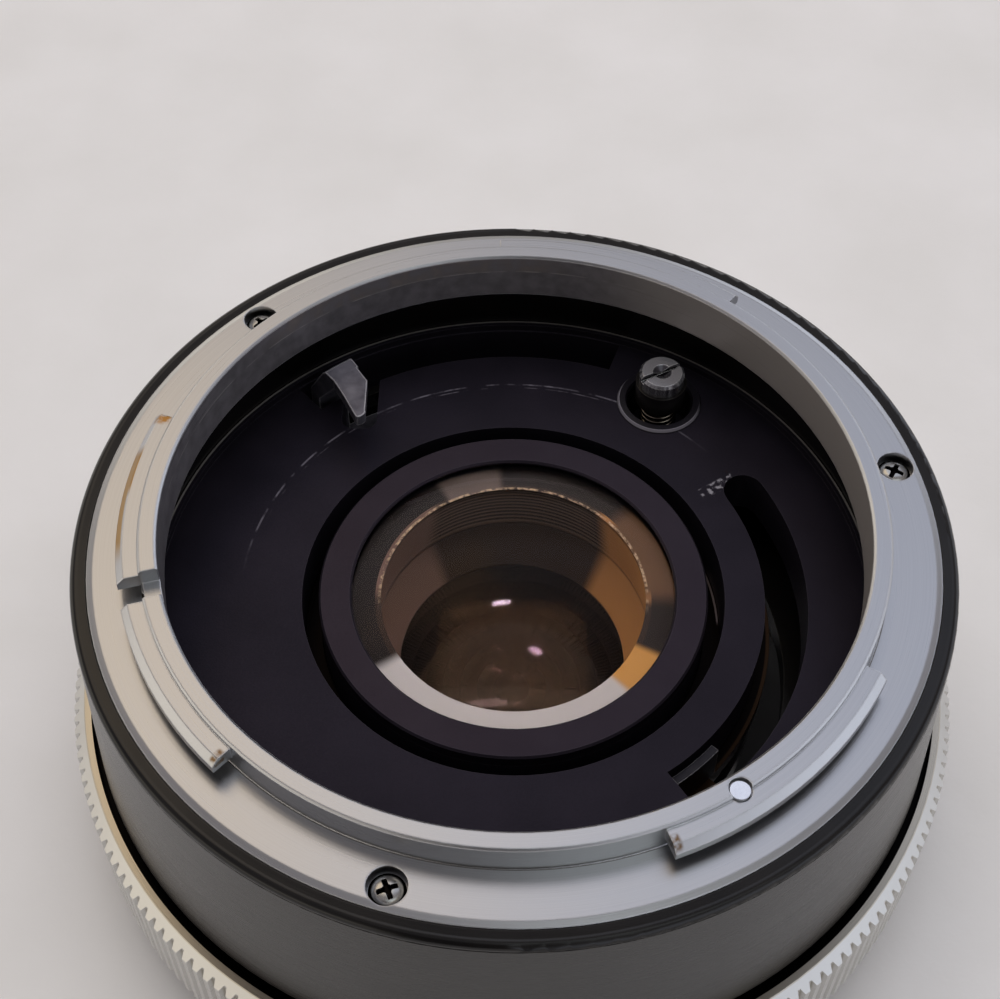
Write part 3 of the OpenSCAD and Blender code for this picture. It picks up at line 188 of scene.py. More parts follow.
def turning_lines(tree, spacing, run):
    """Noise drawn out along the circles about the optical axis, as a lathe tool leaves it, from 0 to 1.

    spacing is the width of a line and run its length, both in millimetres. Real tool lines are finer, and are
    drawn as coarse as they need to be to show. The noise is read on the unit circle with radius plus height
    as a fourth coordinate, so it has no seam."""
    radius, _, height = place(tree)
    point = add(tree, "ShaderNodeTexCoord").outputs["Object"]
    flat = add(tree, "ShaderNodeVectorMath", {"operation": "MULTIPLY"}, {0: point, 1: (1, 1, 0)})
    around = add(tree, "ShaderNodeVectorMath", {"operation": "NORMALIZE"}, {0: flat})
    across = add(tree, "ShaderNodeMath", {"operation": "ADD"}, {0: radius, 1: height})
    depth = add(tree, "ShaderNodeMath", {"operation": "DIVIDE"}, {0: across, 1: spacing})
    length = add(tree, "ShaderNodeVectorMath", {"operation": "SCALE"},
                 {0: around, "Scale": REGISTER_R / run})
    noise = add(tree, "ShaderNodeTexNoise", {"noise_dimensions": "4D"},
                {"Vector": length, "W": depth, "Scale": 1.0, "Detail": 3.0, "Roughness": 0.6})
    return add(tree, "ShaderNodeMapRange", None, {"Value": noise, "From Min": 0.3, "From Max": 0.7})


def grain(tree, size, low=0.3, high=0.7, detail=2.0):
    """Even noise with features of the given size in millimetres, stretched from low..high to 0..1."""
    point = add(tree, "ShaderNodeTexCoord").outputs["Object"]
    noise = add(tree, "ShaderNodeTexNoise", None,
                {"Vector": point, "Scale": 1 / (size * MM), "Detail": detail})
    return add(tree, "ShaderNodeMapRange", None, {"Value": noise, "From Min": low, "From Max": high})


def specks(tree, spacing, share, size):
    """Small round specks of the given size: a cell as wide as spacing may hold one, and share of them do.

    Both sizes are in millimetres."""
    point = add(tree, "ShaderNodeTexCoord").outputs["Object"]
    cells = add(tree, "ShaderNodeTexVoronoi", None, {"Vector": point, "Scale": 1 / (spacing * MM)})
    chosen = add(tree, "ShaderNodeSeparateColor", None, {0: cells.outputs["Color"]})
    rare = add(tree, "ShaderNodeMath", {"operation": "LESS_THAN"}, {0: chosen.outputs[0], 1: share})
    reach = 0.5 * size / spacing
    spot = add(tree, "ShaderNodeMapRange", None,
               {"Value": cells.outputs["Distance"], "From Min": reach, "From Max": 0.5 * reach})
    return add(tree, "ShaderNodeMath", {"operation": "MULTIPLY"}, {0: rare, 1: spot})


def relief(tree, height, depth, edge):
    """A normal from a height pattern of the given depth in millimetres, over edges rounded by edge.

    Also gives a mask of the edges themselves: it is 1 where the rounded normal leaves the flat one."""
    rounded = add(tree, "ShaderNodeBevel", {"samples": 4}, {"Radius": edge * MM})
    bump = add(tree, "ShaderNodeBump", None,
               {"Height": height, "Distance": depth * MM, "Strength": 1.0, "Normal": rounded})
    flat = add(tree, "ShaderNodeNewGeometry").outputs["Normal"]
    match = add(tree, "ShaderNodeVectorMath", {"operation": "DOT_PRODUCT"}, {0: rounded, 1: flat})
    edges = add(tree, "ShaderNodeMapRange", None,
                {"Value": match.outputs["Value"], "From Min": 0.99, "From Max": 0.86})
    return bump, edges


# Finishes

def chrome_on_brass(tree):
    """Turned brass, satin chrome plated: a pale grey metal with circular tool lines. The throat's wall is
    duller and stained, and the plate is worn through to brass on the long lug and at the ends of the lugs.
    Angles count from the left, where the long lug is."""
    radius, angle, height = place(tree, 180)
    lines = turning_lines(tree, spacing=0.07, run=14.0)
    normal, edges = relief(tree, lines, depth=0.0015, edge=0.15)
    stain = grain(tree, 1.1, 0.35, 0.68, 4.0)
    smear = grain(tree, 0.5, 0.36, 0.58)
    wall = between(tree, radius, 0, THROAT_R + 0.02, 0.01)
    lug_face = between(tree, height, LUG_WORN_Z, REGISTER_Z, 0.1)
    lug_end = [between(tree, radius, LUG_R - 0.9, LUG_R - 0.3, 0.3),
               between(tree, height, LUG_WORN_Z + 0.1, REGISTER_Z, 0.2), smear]
    colour = paint(
        tree, "#BFC0C2",
        ("#C9CACC", lines),
        ("#837F82", wall),
        ("#6E6A6D", wall, stain),
        # painted light: the throat's wall is painted lighter on its right-hand side
        ("#A39D9A", wall, between(tree, angle, 140, 181, 20)),
        ("#A39D9A", wall, between(tree, angle, -181, -120, 20)),
        ("#8D8480", wall, between(tree, angle, -90, -48, 12),
         between(tree, height, REGISTER_Z - 1.4, REGISTER_Z - 0.1, 0.2), stain),
        ("#A09B98", wall, between(tree, height, REGISTER_Z - 1.56, REGISTER_Z - 1.48, 0.03),
         grain(tree, 1.6, 0.40, 0.60)),
        # painted shade: a dark band in the corner at the foot of the raised ring
        ("#5A554C", between(tree, radius, REGISTER_R, REGISTER_R + 0.06, 0.08),
         between(tree, height, FLANGE_Z - 0.6, FLANGE_Z + 0.02, 0.05)),
        # painted highlights: the edges are painted near white
        ("#E2E3E6", edges),
        ("#A98550", lug_face, between(tree, radius, LUG_R - 0.52, LUG_R + 0.2, 0.08),
         between(tree, angle, -9, -4, 3.0)),
        ("#AD8C5C", lug_face, between(tree, radius, LUG_R - 0.34, LUG_R + 0.2, 0.12),
         between(tree, angle, -6, 6, 5.0)),
        ("#A87F4A", between(tree, angle, -18.4, -16.6, 1.0),
         between(tree, radius, LUG_R - 1.1, LUG_R - 0.4, 0.4),
         between(tree, height, FLANGE_Z + 0.1, REGISTER_Z, 0.1), smear),
        ("#7A6248", *lug_end, between(tree, angle, 46.8, 48.2, 0.6)),
        ("#7A6248", *lug_end, between(tree, angle, 111.0, 112.4, 0.6)),
        ("#55524E", specks(tree, 3.1, 0.10, 0.22)))
    rough = add(tree, "ShaderNodeMapRange", None, {"Value": lines, "To Min": 0.27, "To Max": 0.33})
    plate = add(tree, "ShaderNodeMapRange", None, {"Value": wall, "To Min": 1.0, "To Max": 0.45})
    return add(tree, "ShaderNodeBsdfPrincipled", None, {
        "Base Color": colour, "Metallic": plate, "Roughness": rough, "Anisotropic": 0.4,
        "Tangent": add(tree, "ShaderNodeTangent", {"direction_type": "RADIAL", "axis": "Z"}),
        "Normal": normal})


def chrome_knurled(tree):
    """Knurled brass, satin chrome plated, with painted highlights on its crests and edges, and painted shade
    that makes the roots of the knurl a little darker and greyer. The flat rim above the knurl is matt and
    warmer, and the groove behind the barrel is painted black as painted shade."""
    radius, _, height = place(tree)
    lines = turning_lines(tree, spacing=0.08, run=9.0)
    normal, edges = relief(tree, lines, depth=0.0015, edge=0.05)
    colour = paint(
        tree, "#C8C7C3",
        ("#D4D3CF", lines),
        # painted shade: the roots of the knurl are painted a little darker and greyer
        ("#BAB6AC", between(tree, radius, KNURL_ROOT_R - 0.08, KNURL_ROOT_R + 0.06, 0.16),
         between(tree, height, *KNURL_Z, 0.2)),
        ("#BEB7A8", between(tree, height, BREECH_TOP_Z - 0.05, BREECH_TOP_Z + 0.75, 0.03)),
        # painted highlights: the crests and edges are painted near white
        ("#E6E6E4", edges),
        # painted shade: the groove behind the barrel is painted black
        ("#0B0A0A", between(tree, radius, 0, BREECH_RIM_IN_R + 0.03, 0.02),
         between(tree, height, BREECH_TOP_Z - 2.75, BREECH_TOP_Z + 0.75, 0.1)))
    rough = add(tree, "ShaderNodeMapRange", None, {"Value": lines, "To Min": 0.26, "To Max": 0.34})
    return add(tree, "ShaderNodeBsdfPrincipled", None, {
        "Base Color": colour, "Metallic": 1.0, "Roughness": rough, "Normal": normal})


def black_gloss_body(tree):
    """Turned aluminium under glossy black enamel: near black, with clear highlights on its rounded bead."""
    lines = turning_lines(tree, spacing=0.12, run=9.0)
    normal, edges = relief(tree, lines, depth=0.0008, edge=0.10)
    colour = paint(
        tree, "#0B0A0A",
        ("#131110", grain(tree, 4.0)),
        ("#4A4540", specks(tree, 3.4, 0.05, 0.16)),
        ("#2A2724", edges))
    rough = add(tree, "ShaderNodeMapRange", None, {"Value": lines, "To Min": 0.18, "To Max": 0.26})
    return add(tree, "ShaderNodeBsdfPrincipled", None, {
        "Base Color": colour, "Roughness": rough, "IOR": 1.42, "Normal": normal})


def black_anodised_barrel(tree):
    """Turned and black-anodised aluminium: a dark warm satin with faint circular lines, and pale chips where
    the skin is knocked at the edges."""
    lines = turning_lines(tree, spacing=0.05, run=12.0)
    normal, edges = relief(tree, lines, depth=0.002, edge=0.06)
    colour = paint(
        tree, "#171515",
        ("#1E1C1C", grain(tree, 5.0, detail=3.0)),
        ("#252322", lines, grain(tree, 9.0)),
        ("#8A8580", specks(tree, 3.6, 0.06, 0.18)),
        ("#6E6862", edges, grain(tree, 0.8, 0.50, 0.62, 3.0)))
    rough = add(tree, "ShaderNodeMapRange", None, {"Value": lines, "To Min": 0.24, "To Max": 0.32})
    return add(tree, "ShaderNodeBsdfPrincipled", None, {
        "Base Color": colour, "Roughness": rough, "IOR": 1.5, "Specular IOR Level": 0.42, "Normal": normal})


def baffle_paint(tree):
    """Matt black paint with a violet cast on aluminium: fine grain, dust, two circular rubs from the levers
    of lenses, bright metal where the right-hand slot's round end is worn, and a thin pale line on the rim.
    Angles count from the middle of the rubs, at the far left."""
    radius, angle, height = place(tree, 118)
    fine = grain(tree, 0.14)
    normal, edges = relief(tree, fine, depth=0.004, edge=0.05)
    top = between(tree, height, PLATE_Z - 0.02, PLATE_Z + 0.1, 0.01)
    rim = between(tree, radius, PLATE_RIM_R, PLATE_RIM_R + 0.3, 0.05)
    broken = grain(tree, 1.3, 0.42, 0.60, 4.0)
    colour = paint(
        tree, "#131116",
        ("#1A171D", grain(tree, 6.0)),
        ("#3B383D", edges),
        ("#77736F", rim, between(tree, height, PLATE_Z + 0.5, PLATE_Z + 0.8, 0.05)),
        ("#57535A", top, between(tree, radius, RUB_OUT_R, RUB_OUT_R + 0.08, 0.06),
         between(tree, angle, -58, 40, 20), broken),
        ("#4A464C", top, between(tree, radius, RUB_IN_R, RUB_IN_R + 0.04, 0.05),
         between(tree, angle, -50, 30, 16), grain(tree, 1.7, 0.46, 0.60, 4.0)),
        ("#7E7B80", top, between(tree, radius, RUB_IN_R - 2.6, RUB_IN_R + 0.2, 0.2),
         between(tree, angle, -86.6, -84.2, 0.6), grain(tree, 0.5, 0.50, 0.62, 4.0)),
        ("#8C8890", specks(tree, 3.3, 0.06, 0.14)))
    rough = add(tree, "ShaderNodeMapRange", None, {"Value": fine, "To Min": 0.42, "To Max": 0.54})
    return add(tree, "ShaderNodeBsdfPrincipled", None, {
        "Base Color": colour, "Roughness": rough, "IOR": 1.5, "Specular IOR Level": 0.26,
        "Specular Tint": linear("#DCD2F2"), "Normal": normal})


def satin_black_ring(tree):
    """Black-anodised lens ring: a fine satin, a little paler and more violet than the plate around it."""
    fine = grain(tree, 0.16)
    normal, edges = relief(tree, fine, depth=0.003, edge=0.05)
    colour = paint(
        tree, "#141116",
        ("#19161B", grain(tree, 3.0)),
        ("#4A464C", edges),
        ("#85818A", specks(tree, 3.0, 0.05, 0.14)))
    rough = add(tree, "ShaderNodeMapRange", None, {"Value": fine, "To Min": 0.36, "To Max": 0.46})
    return add(tree, "ShaderNodeBsdfPrincipled", None, {
        "Base Color": colour, "Roughness": rough, "IOR": 1.5, "Specular IOR Level": 0.4,
        "Specular Tint": linear("#EBD3EE"), "Normal": normal})


def spacer_black(tree):
    """Black paint on a ridged tube: brown-black walls, with painted highlights on the crests of the ridges
    and painted reflections on both sides, amber at the right and brown-grey at the left. Its flat ground
    front edge
    carries painted reflected light: pale at the near side, amber to the right, grey-brown at the far left,
    and painted glints along its far brink. Angles count from the near side."""
    radius, angle, height = place(tree, 270)
    normal, _ = relief(tree, grain(tree, 0.12), depth=0.001, edge=0.04)
    wall = between(tree, radius, 0, SPACER_IN_R + 0.4, 0.02)
    front = between(tree, height, SPACER_TOP_Z - 0.02, SPACER_TOP_Z + 0.1, 0.01)
    brink = between(tree, radius, SPACER_IN_R, SPACER_IN_R + 0.16, 0.10)
    crests = [between(tree, radius, 0, SPACER_IN_R + 0.04, 0.08),
              between(tree, height, *SPACER_RIDGES_Z, 0.1)]
    lit = between(tree, height, *SPACER_WALL_Z, 0.3)
    glint_grain = grain(tree, 0.3, 0.40, 0.62)
    far = add(tree, "ShaderNodeMath", {"operation": "ABSOLUTE"}, {0: angle})
    colour = paint(
        tree, "#1A120F",
        ("#33251C", wall),
        # painted highlights: the crests of the ridges are painted lighter
        ("#6B5546", wall, *crests),
        # painted reflections: amber on the right wall, brown-grey on the left wall
        ("#C98D52", wall, lit, between(tree, angle, 94, 134, 9)),
        ("#7A6054", wall, lit, between(tree, angle, -138, -94, 9)),
        # painted reflected light on the flat front edge: pale at the near side, amber to the right,
        # grey-brown at the far left
        ("#DBD7D3", front, between(tree, angle, -54, 46, 6)),
        ("#DFA458", front, between(tree, angle, 49, 64, 4)),
        ("#6E625B", front, between(tree, angle, -172, -152, 4)),
        ("#6B4E34", front, between(tree, angle, 96, 128, 10)),
        # painted glints along the far brink of the front edge
        ("#D8BC98", front, brink, between(tree, far, 100, 181, 20), glint_grain))
    return add(tree, "ShaderNodeBsdfPrincipled", None, {
        "Base Color": colour, "Roughness": 0.42, "IOR": 1.5, "Specular IOR Level": 0.15, "Normal": normal})


def coated_glass(coat):
    """Builds polished optical glass with an amber anti-reflection coat: clear, with dark warm reflections.

    coat is the colour of the light that the coat still reflects."""
    def build(tree):
        return add(tree, "ShaderNodeBsdfPrincipled", None, {
            "Base Color": linear("#F4F0EA"), "Roughness": 0.0, "IOR": 1.62, "Transmission Weight": 1.0,
            "Specular Tint": linear(coat)})
    return build


def bare_metal(dark, light, edge, rough, scratch_size, edge_size=0.05, shine=1.0):
    """Builds a bare metal with fine scratches and edges painted in their own colour: steel, bronze or brass,
    as its colours say. Bright edges stand for both worn metal and painted highlights.

    A shine below 1 stands for a skin of oil or oxide, which scatters part of the light."""
    def build(tree):
        scratch = grain(tree, scratch_size, detail=3.0)
        normal, edges = relief(tree, scratch, depth=0.0015, edge=edge_size)
        # the edge colour, where bright, is both worn metal and a painted highlight
        colour = paint(tree, dark, (light, grain(tree, 1.2, detail=3.0)), (edge, edges))
        roughness = add(tree, "ShaderNodeMapRange", None,
                        {"Value": scratch, "To Min": rough - 0.05, "To Max": rough + 0.05})
        return add(tree, "ShaderNodeBsdfPrincipled", None, {
            "Base Color": colour, "Metallic": shine, "Roughness": roughness, "Normal": normal})
    return build


def pin_steel(tree):
    """Turned steel head of the signal pin: a bright flat rim, a dimple and slot painted dark as painted
    shade, a side painted darker in upright streaks as painted reflection, and edges painted near white as
    painted highlights."""
    radius, angle, height = place(tree, 0, PIN_XY)
    normal, edges = relief(tree, grain(tree, 0.15, detail=3.0), depth=0.0015, edge=0.06)
    streaks = add(tree, "ShaderNodeTexNoise", {"noise_dimensions": "1D"},
                  {"W": angle, "Scale": 0.06, "Detail": 2.0})
    streak = add(tree, "ShaderNodeMapRange", None, {"Value": streaks, "From Min": 0.42, "From Max": 0.58})
    side = between(tree, radius, *PIN_SIDE_R, 0.06)
    colour = paint(
        tree, "#9A999D",
        # painted reflection: the side is painted darker in upright streaks
        ("#4E4C52", side, streak),
        # painted shade: the dimple and the floor of the slot are painted dark
        ("#4A484D", between(tree, radius, 0, PIN_DIMPLE_R, 0.08)),
        ("#17151A", between(tree, height, 0, PIN_TOP_Z - 0.30, 0.05),
         between(tree, radius, 0, PIN_SLOT_R, 0.05)),
        # painted highlights: the edges are painted near white
        ("#FBFAF8", edges))
    return add(tree, "ShaderNodeBsdfPrincipled", None, {
        "Base Color": colour, "Metallic": 0.75, "Roughness": 0.20, "Normal": normal})


def eyelet_black(tree):
    """Blackened brass eyelet of the signal pin: satin black, with a painted highlight along the near half of
    its rim.
    """
    radius, angle, height = place(tree, 250, PIN_XY)
    normal, edges = relief(tree, grain(tree, 0.15), depth=0.003, edge=0.05)
    colour = paint(
        tree, "#131116",
        ("#2A272C", edges),
        # painted highlight: the near half of the rim is painted pale
        ("#716D74", between(tree, radius, EYELET_R - 0.17, EYELET_R + 0.10, 0.05),
         between(tree, height, PLATE_Z + 0.12, PLATE_Z + 0.5, 0.05), between(tree, angle, -75, 70, 40)))
    return add(tree, "ShaderNodeBsdfPrincipled", None, {
        "Base Color": colour, "Roughness": 0.40, "IOR": 1.5, "Specular IOR Level": 0.4, "Normal": normal})


def screw_nickel(tree):
    """Nickel-plated steel screws: bright domed heads with edges painted as painted highlights, painted near
    black in the recess and low on the head, as grime and painted shade.
    """
    _, _, height = place(tree)
    scratch = grain(tree, 0.2, detail=3.0)
    normal, edges = relief(tree, scratch, depth=0.0015, edge=0.03)
    colour = paint(
        tree, "#B9B8B4",
        ("#CDCCC9", grain(tree, 0.9)),
        # painted highlights: the edges are painted near white
        ("#E4E4E2", edges),
        # grime and painted shade: the recesses and the lower parts of the heads are painted near black
        *[("#0E0C0B", between(tree, height, low, high, soft)) for low, high, soft in SCREW_GRIME_AND_SHADE_Z])
    return add(tree, "ShaderNodeBsdfPrincipled", None, {
        "Base Color": colour, "Metallic": 1.0, "Roughness": 0.26, "Normal": normal})


def control_ring_brass(tree):
    """Turned brass control rings, blackened on their faces: only the outer rim keeps its brown metal, and a
    short arc beside the lens barrel is painted pale as a painted highlight."""
    radius, angle, _ = place(tree)
    lines = turning_lines(tree, spacing=0.10, run=8.0)
    normal, _ = relief(tree, lines, depth=0.002, edge=0.05)
    colour = paint(
        tree, "#0D0B0B",
        ("#15110F", lines),
        ("#33251A", between(tree, radius, *CONTROL_RIM_R, 0.08)),
        # painted highlight: a short pale arc beside the lens barrel
        ("#8A8288", between(tree, radius, *CONTROL_GLINT_R, 0.04), between(tree, angle, 2, 16, 3.0)))
    rough = add(tree, "ShaderNodeMapRange", None, {"Value": lines, "To Min": 0.34, "To Max": 0.46})
    return add(tree, "ShaderNodeBsdfPrincipled", None, {
        "Base Color": colour, "Metallic": 1.0, "Roughness": rough, "Normal": normal})


def red_enamel(tree):
    """Brushed-in red enamel: glossy, a little uneven."""
    uneven = grain(tree, 0.5)
    normal, _ = relief(tree, uneven, depth=0.01, edge=0.05)
    return add(tree, "ShaderNodeBsdfPrincipled", None, {
        "Base Color": paint(tree, "#A3170F", ("#B92017", uneven)), "Roughness": 0.32, "Normal": normal})


FINISHES = {
    "mount_chrome": finish("satin_chrome_plated_brass", chrome_on_brass),
    "ring_chrome": finish("satin_chrome_knurled_ring", chrome_knurled),
    "body_black": finish("glossy_black_enamel", black_gloss_body),
    "barrel_black": finish("black_anodised_barrel", black_anodised_barrel),
    "baffle_black": finish("matt_black_baffle_paint", baffle_paint),
    "coated_glass": finish("amber_coated_optical_glass", coated_glass("#3A2A20")),
    "screw_steel": finish("nickel_plated_screw_steel", screw_nickel),
    "bright_steel": finish("turned_bright_steel", bare_metal("#8F8E8E", "#A9A8A8", "#E0DFDE", 0.20, 0.15)),
    "lever_steel": finish("oiled_pressed_steel",
                          bare_metal("#47454D", "#6B6971", "#E8E5E7", 0.40, 0.25, 0.20, 0.60)),
    "spring_wire": finish("oil_blacked_spring_wire", bare_metal("#303033", "#45454A", "#45454A", 0.32, 0.10)),
    "spring_bronze": finish("drawn_phosphor_bronze", bare_metal("#8B8175", "#A2988A", "#A2988A", 0.20, 0.10)),
    "ring_brass": finish("blackened_ring_brass", control_ring_brass),
    "index_red": finish("red_enamel_fill", red_enamel),
}
# Pieces whose finish differs from the rest of their slot
OWN_FINISHES = {
    "front_element": finish("brown_coated_optical_glass", coated_glass("#35261E")),
    "pair_front_element": finish("thinly_coated_optical_glass", coated_glass("#5E4838")),
    "front_retaining_ring": finish("satin_black_lens_ring", satin_black_ring),
    "ridged_spacer": finish("black_ridged_tube", spacer_black),
    "pin_head": finish("turned_pin_steel", pin_steel),
    "pin_eyelet": finish("blackened_eyelet_brass", eyelet_black),
    "mount_dowel": finish("polished_dowel_steel",
                          bare_metal("#EDEDF0", "#F6F6F8", "#4A484C", 0.12, 0.2, 0.06)),
    "signal_tab": finish("oil_blacked_tab_steel",
                         bare_metal("#1D1B1F", "#29272B", "#C9C6C8", 0.36, 0.2, 0.08, 0.7)),
}
for part in frame["record"]["subparts"]:
    mesh = NODES[part["node"]].data
    mesh.materials.clear()
    mesh.materials.append(OWN_FINISHES.get(part["node"], FINISHES[part["material_slot"]]))


# New pieces

SHARP_ANGLE = math.radians(38)
MERGE_DISTANCE = 1e-7


def piece_from_grids(name, grids, slot, body):
    """One closed mesh from grids of points (rows, columns, 3) in millimetres.

    Columns run round and are closed, and the first and last rows are single points, so that merging the
    doubles closes the poles."""
    points = []
    quads = []
    for grid in grids:
        rows, columns = grid.shape[:2]
        index = np.arange(rows * columns).reshape(rows, columns) + sum(len(p) for p in points)
        right = np.roll(index, -1, axis=1)
        quads.append(np.stack([index[:-1], right[:-1], right[1:], index[1:]], axis=-1).reshape(-1, 4))
        points.append(grid.reshape(-1, 3) * MM)
    mesh = bpy.data.meshes.new(name)
    mesh.from_pydata(np.concatenate(points).tolist(), [], np.concatenate(quads).tolist())
    work = bmesh.new()
    work.from_mesh(mesh)
    bmesh.ops.remove_doubles(work, verts=work.verts, dist=MERGE_DISTANCE)
    bmesh.ops.recalc_face_normals(work, faces=work.faces)
    work.to_mesh(mesh)
    work.free()
    mesh.polygons.foreach_set("use_smooth", np.ones(len(mesh.polygons), bool))
    mesh.set_sharp_from_angle(angle=SHARP_ANGLE)
    mesh.materials.append(FINISHES[slot])
    piece = bpy.data.objects.new(name, mesh)
    bpy.context.scene.collection.objects.link(piece)
    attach(piece, body)
    return piece


def smooth_step(value, low, high):
    """0 below low, 1 above high, and the cubic 3t^2 - 2t^3 between them."""
    t = np.clip((value - low) / (high - low), 0, 1)
    return t * t * (3 - 2 * t)


def cross_screw(head_d, head_h, shank_d, shank_len, turn, columns=192, crown_rows=64, rim_rows=7):
    """Points of a screw that points down, with the top of its head at height 0.

    A profile is turned about the axis: a crown that falls with the fourth power of the radius, a round rim,
    the head's side, its underside and the shank. A cross is pressed into the crown: each arm is a band about
    a middle line, with steep sides and sloping ends, and a round pit joins them."""
    head_r = head_d / 2
    crown = 0.14 * head_d
    rim = 0.05 * head_d
    top_r = np.linspace(0, head_r - rim, crown_rows)
    top_z = -crown * (top_r / (head_r - rim)) ** 4
    bend = np.linspace(0, math.pi / 2, rim_rows)[1:]
    low_r = np.array([head_r, shank_d / 2, shank_d / 2, 0.0])
    low_z = np.array([-head_h, -head_h, -head_h - shank_len, -head_h - shank_len])
    r = np.concatenate([top_r, head_r - rim + rim * np.sin(bend), low_r])[:, None]
    z = np.concatenate([top_z, -crown + rim * (np.cos(bend) - 1), low_z])[:, None]
    angle = np.linspace(0, 2 * math.pi, columns, endpoint=False)[None, :]
    x = r * np.cos(angle)
    y = r * np.sin(angle)
    along = x * math.cos(turn) + y * math.sin(turn)
    across = y * math.cos(turn) - x * math.sin(turn)
    arm_half = 0.058 * head_d
    reach = 0.30 * head_d
    wall = 0.014 * head_d
    slope = 0.06 * head_d
    pit_r = 0.115 * head_d
    recess_h = 0.75 * head_h
    arms = [smooth_step(arm_half - np.abs(a), -wall, wall) * smooth_step(reach - np.abs(b), 0, slope)
            for a, b in ((across, along), (along, across))]
    pit = smooth_step(pit_r - r, -wall, wall)
    pressed = recess_h * np.maximum(np.maximum(*arms), pit) * (r < head_r - rim)
    return np.stack([x, y, z - pressed], axis=-1)


def set_in_circle(points, radius, angle, height, downward):
    """Moves a screw's points to a place on a circle about the optical axis, head up or head to the rear."""
    sign = -1 if downward else 1
    turn = math.radians(angle)
    middle = np.array([radius * math.cos(turn), radius * math.sin(turn), height])
    return points * np.array([1, sign, sign]) + middle


def wound_wire(centre, coil_r, wire_r, low, high, turns, turn_rows=44, columns=14):
    """The wire of a compression spring: a circle carried along a helix about an upright axis.

    The climb per turn is the wire's own thickness over the first and last turn, which lie closed on their
    seats, and even between them. The end rows are single points that close the wire."""
    wind = np.linspace(0, turns, turns * turn_rows + 1)
    closed = 2.05 * wire_r
    free = (high - low - 2 * wire_r - 2 * closed) / (turns - 2)
    pitch = np.where((wind < 1) | (wind > turns - 1), closed, free)
    climb = np.concatenate([[0], np.cumsum((pitch[1:] + pitch[:-1]) / 2 * np.diff(wind))])
    climb *= (high - low - 2 * wire_r) / climb[-1]
    angle = 2 * math.pi * wind[:, None]
    size = np.where((wind == 0) | (wind == turns), 0.0, wire_r)[:, None]
    round_wire = np.linspace(0, 2 * math.pi, columns, endpoint=False)[None, :]
    radius = coil_r + size * np.cos(round_wire)
    height = low + wire_r + climb[:, None] + size * np.sin(round_wire)
    return np.stack([centre[0] + radius * np.cos(angle), centre[1] + radius * np.sin(angle), height], axis=-1)


# Places of the screws: head diameter, head height, shank diameter, shank length, radius, height of the top,
# whether the head looks to the rear, and for each screw its angle and the turn of its cross
SCREW_SETS = {
    "mount_screws": (2.35, 0.6, 1.6, 4.6, 27.45, 29.2, False, ((12.9, -28), (135, 45), (254.9, 22))),
    "guard_screws": (1.7, 0.6, 1.0, 2.09, 16.75, 10.35, True, ((150, 10), (270, 50), (30, 75))),
    "rear_screws": (2.2, 0.6, 1.2, 3.0, 25.6, 8.45, True, ((184.5, 25), (304.5, 60), (64.5, 5))),
}
for node_name, sizes in SCREW_SETS.items():
    head_d, head_h, shank_d, shank_len, circle_r, top_z, to_rear, places = sizes
    grids = [set_in_circle(cross_screw(head_d, head_h, shank_d, shank_len, math.radians(turn)),
                           circle_r, angle, top_z, to_rear) for angle, turn in places]
    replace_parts(piece_from_grids(node_name + "_domed", grids, "screw_steel", "body"), node_name)

wire = wound_wire(PIN_XY, SPRING_R, SPRING_WIRE_R, SPRING_LOW, SPRING_HIGH, SPRING_TURNS)
coil = piece_from_grids("pin_coil", [wire], "spring_bronze", "body")
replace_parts(coil, "pin_spring")
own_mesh(coil)


# Studio

TABLE_HALF_M = 1.5


def pale_table_top(tree):
    """Laminate table top: off-white, matt, with a faint cloudy tone and a shallow orange-peel surface. It
    carries a patch of painted shade under the part, where the right-hand slot looks down on it."""
    radius, angle, _ = place(tree)
    peel = grain(tree, 2.2, detail=3.0)
    bump = add(tree, "ShaderNodeBump", None, {"Height": peel, "Distance": 0.02 * MM, "Strength": 1.0})
    colour = paint(
        tree, "#D4D1CE",
        ("#DBD8D6", grain(tree, 16.0, detail=4.0)),
        # painted shade: a dark patch under the part, where the right-hand slot looks down
        ("#120F0E", between(tree, radius, 17.0, 25.0, 1.0), between(tree, angle, -6, 30, 5)))
    return add(tree, "ShaderNodeBsdfPrincipled", None, {
        "Base Color": colour, "Roughness": 0.6, "Normal": bump})


def pale_table():
    """A flat square table top under the part: one quad in the plane of the rest face."""
    edge = np.linspace(-TABLE_HALF_M, TABLE_HALF_M, 2)
    x, y = np.meshgrid(edge, edge, indexing="xy")
    mesh = bpy.data.meshes.new("table_top")
    mesh.from_pydata(np.stack([x, y, 0 * x], -1).reshape(-1, 3).tolist(), [], [[0, 1, 3, 2]])
    mesh.materials.append(finish("pale_table_laminate", pale_table_top))
    table = bpy.data.objects.new("table_top", mesh)
    bpy.context.scene.collection.objects.link(table)


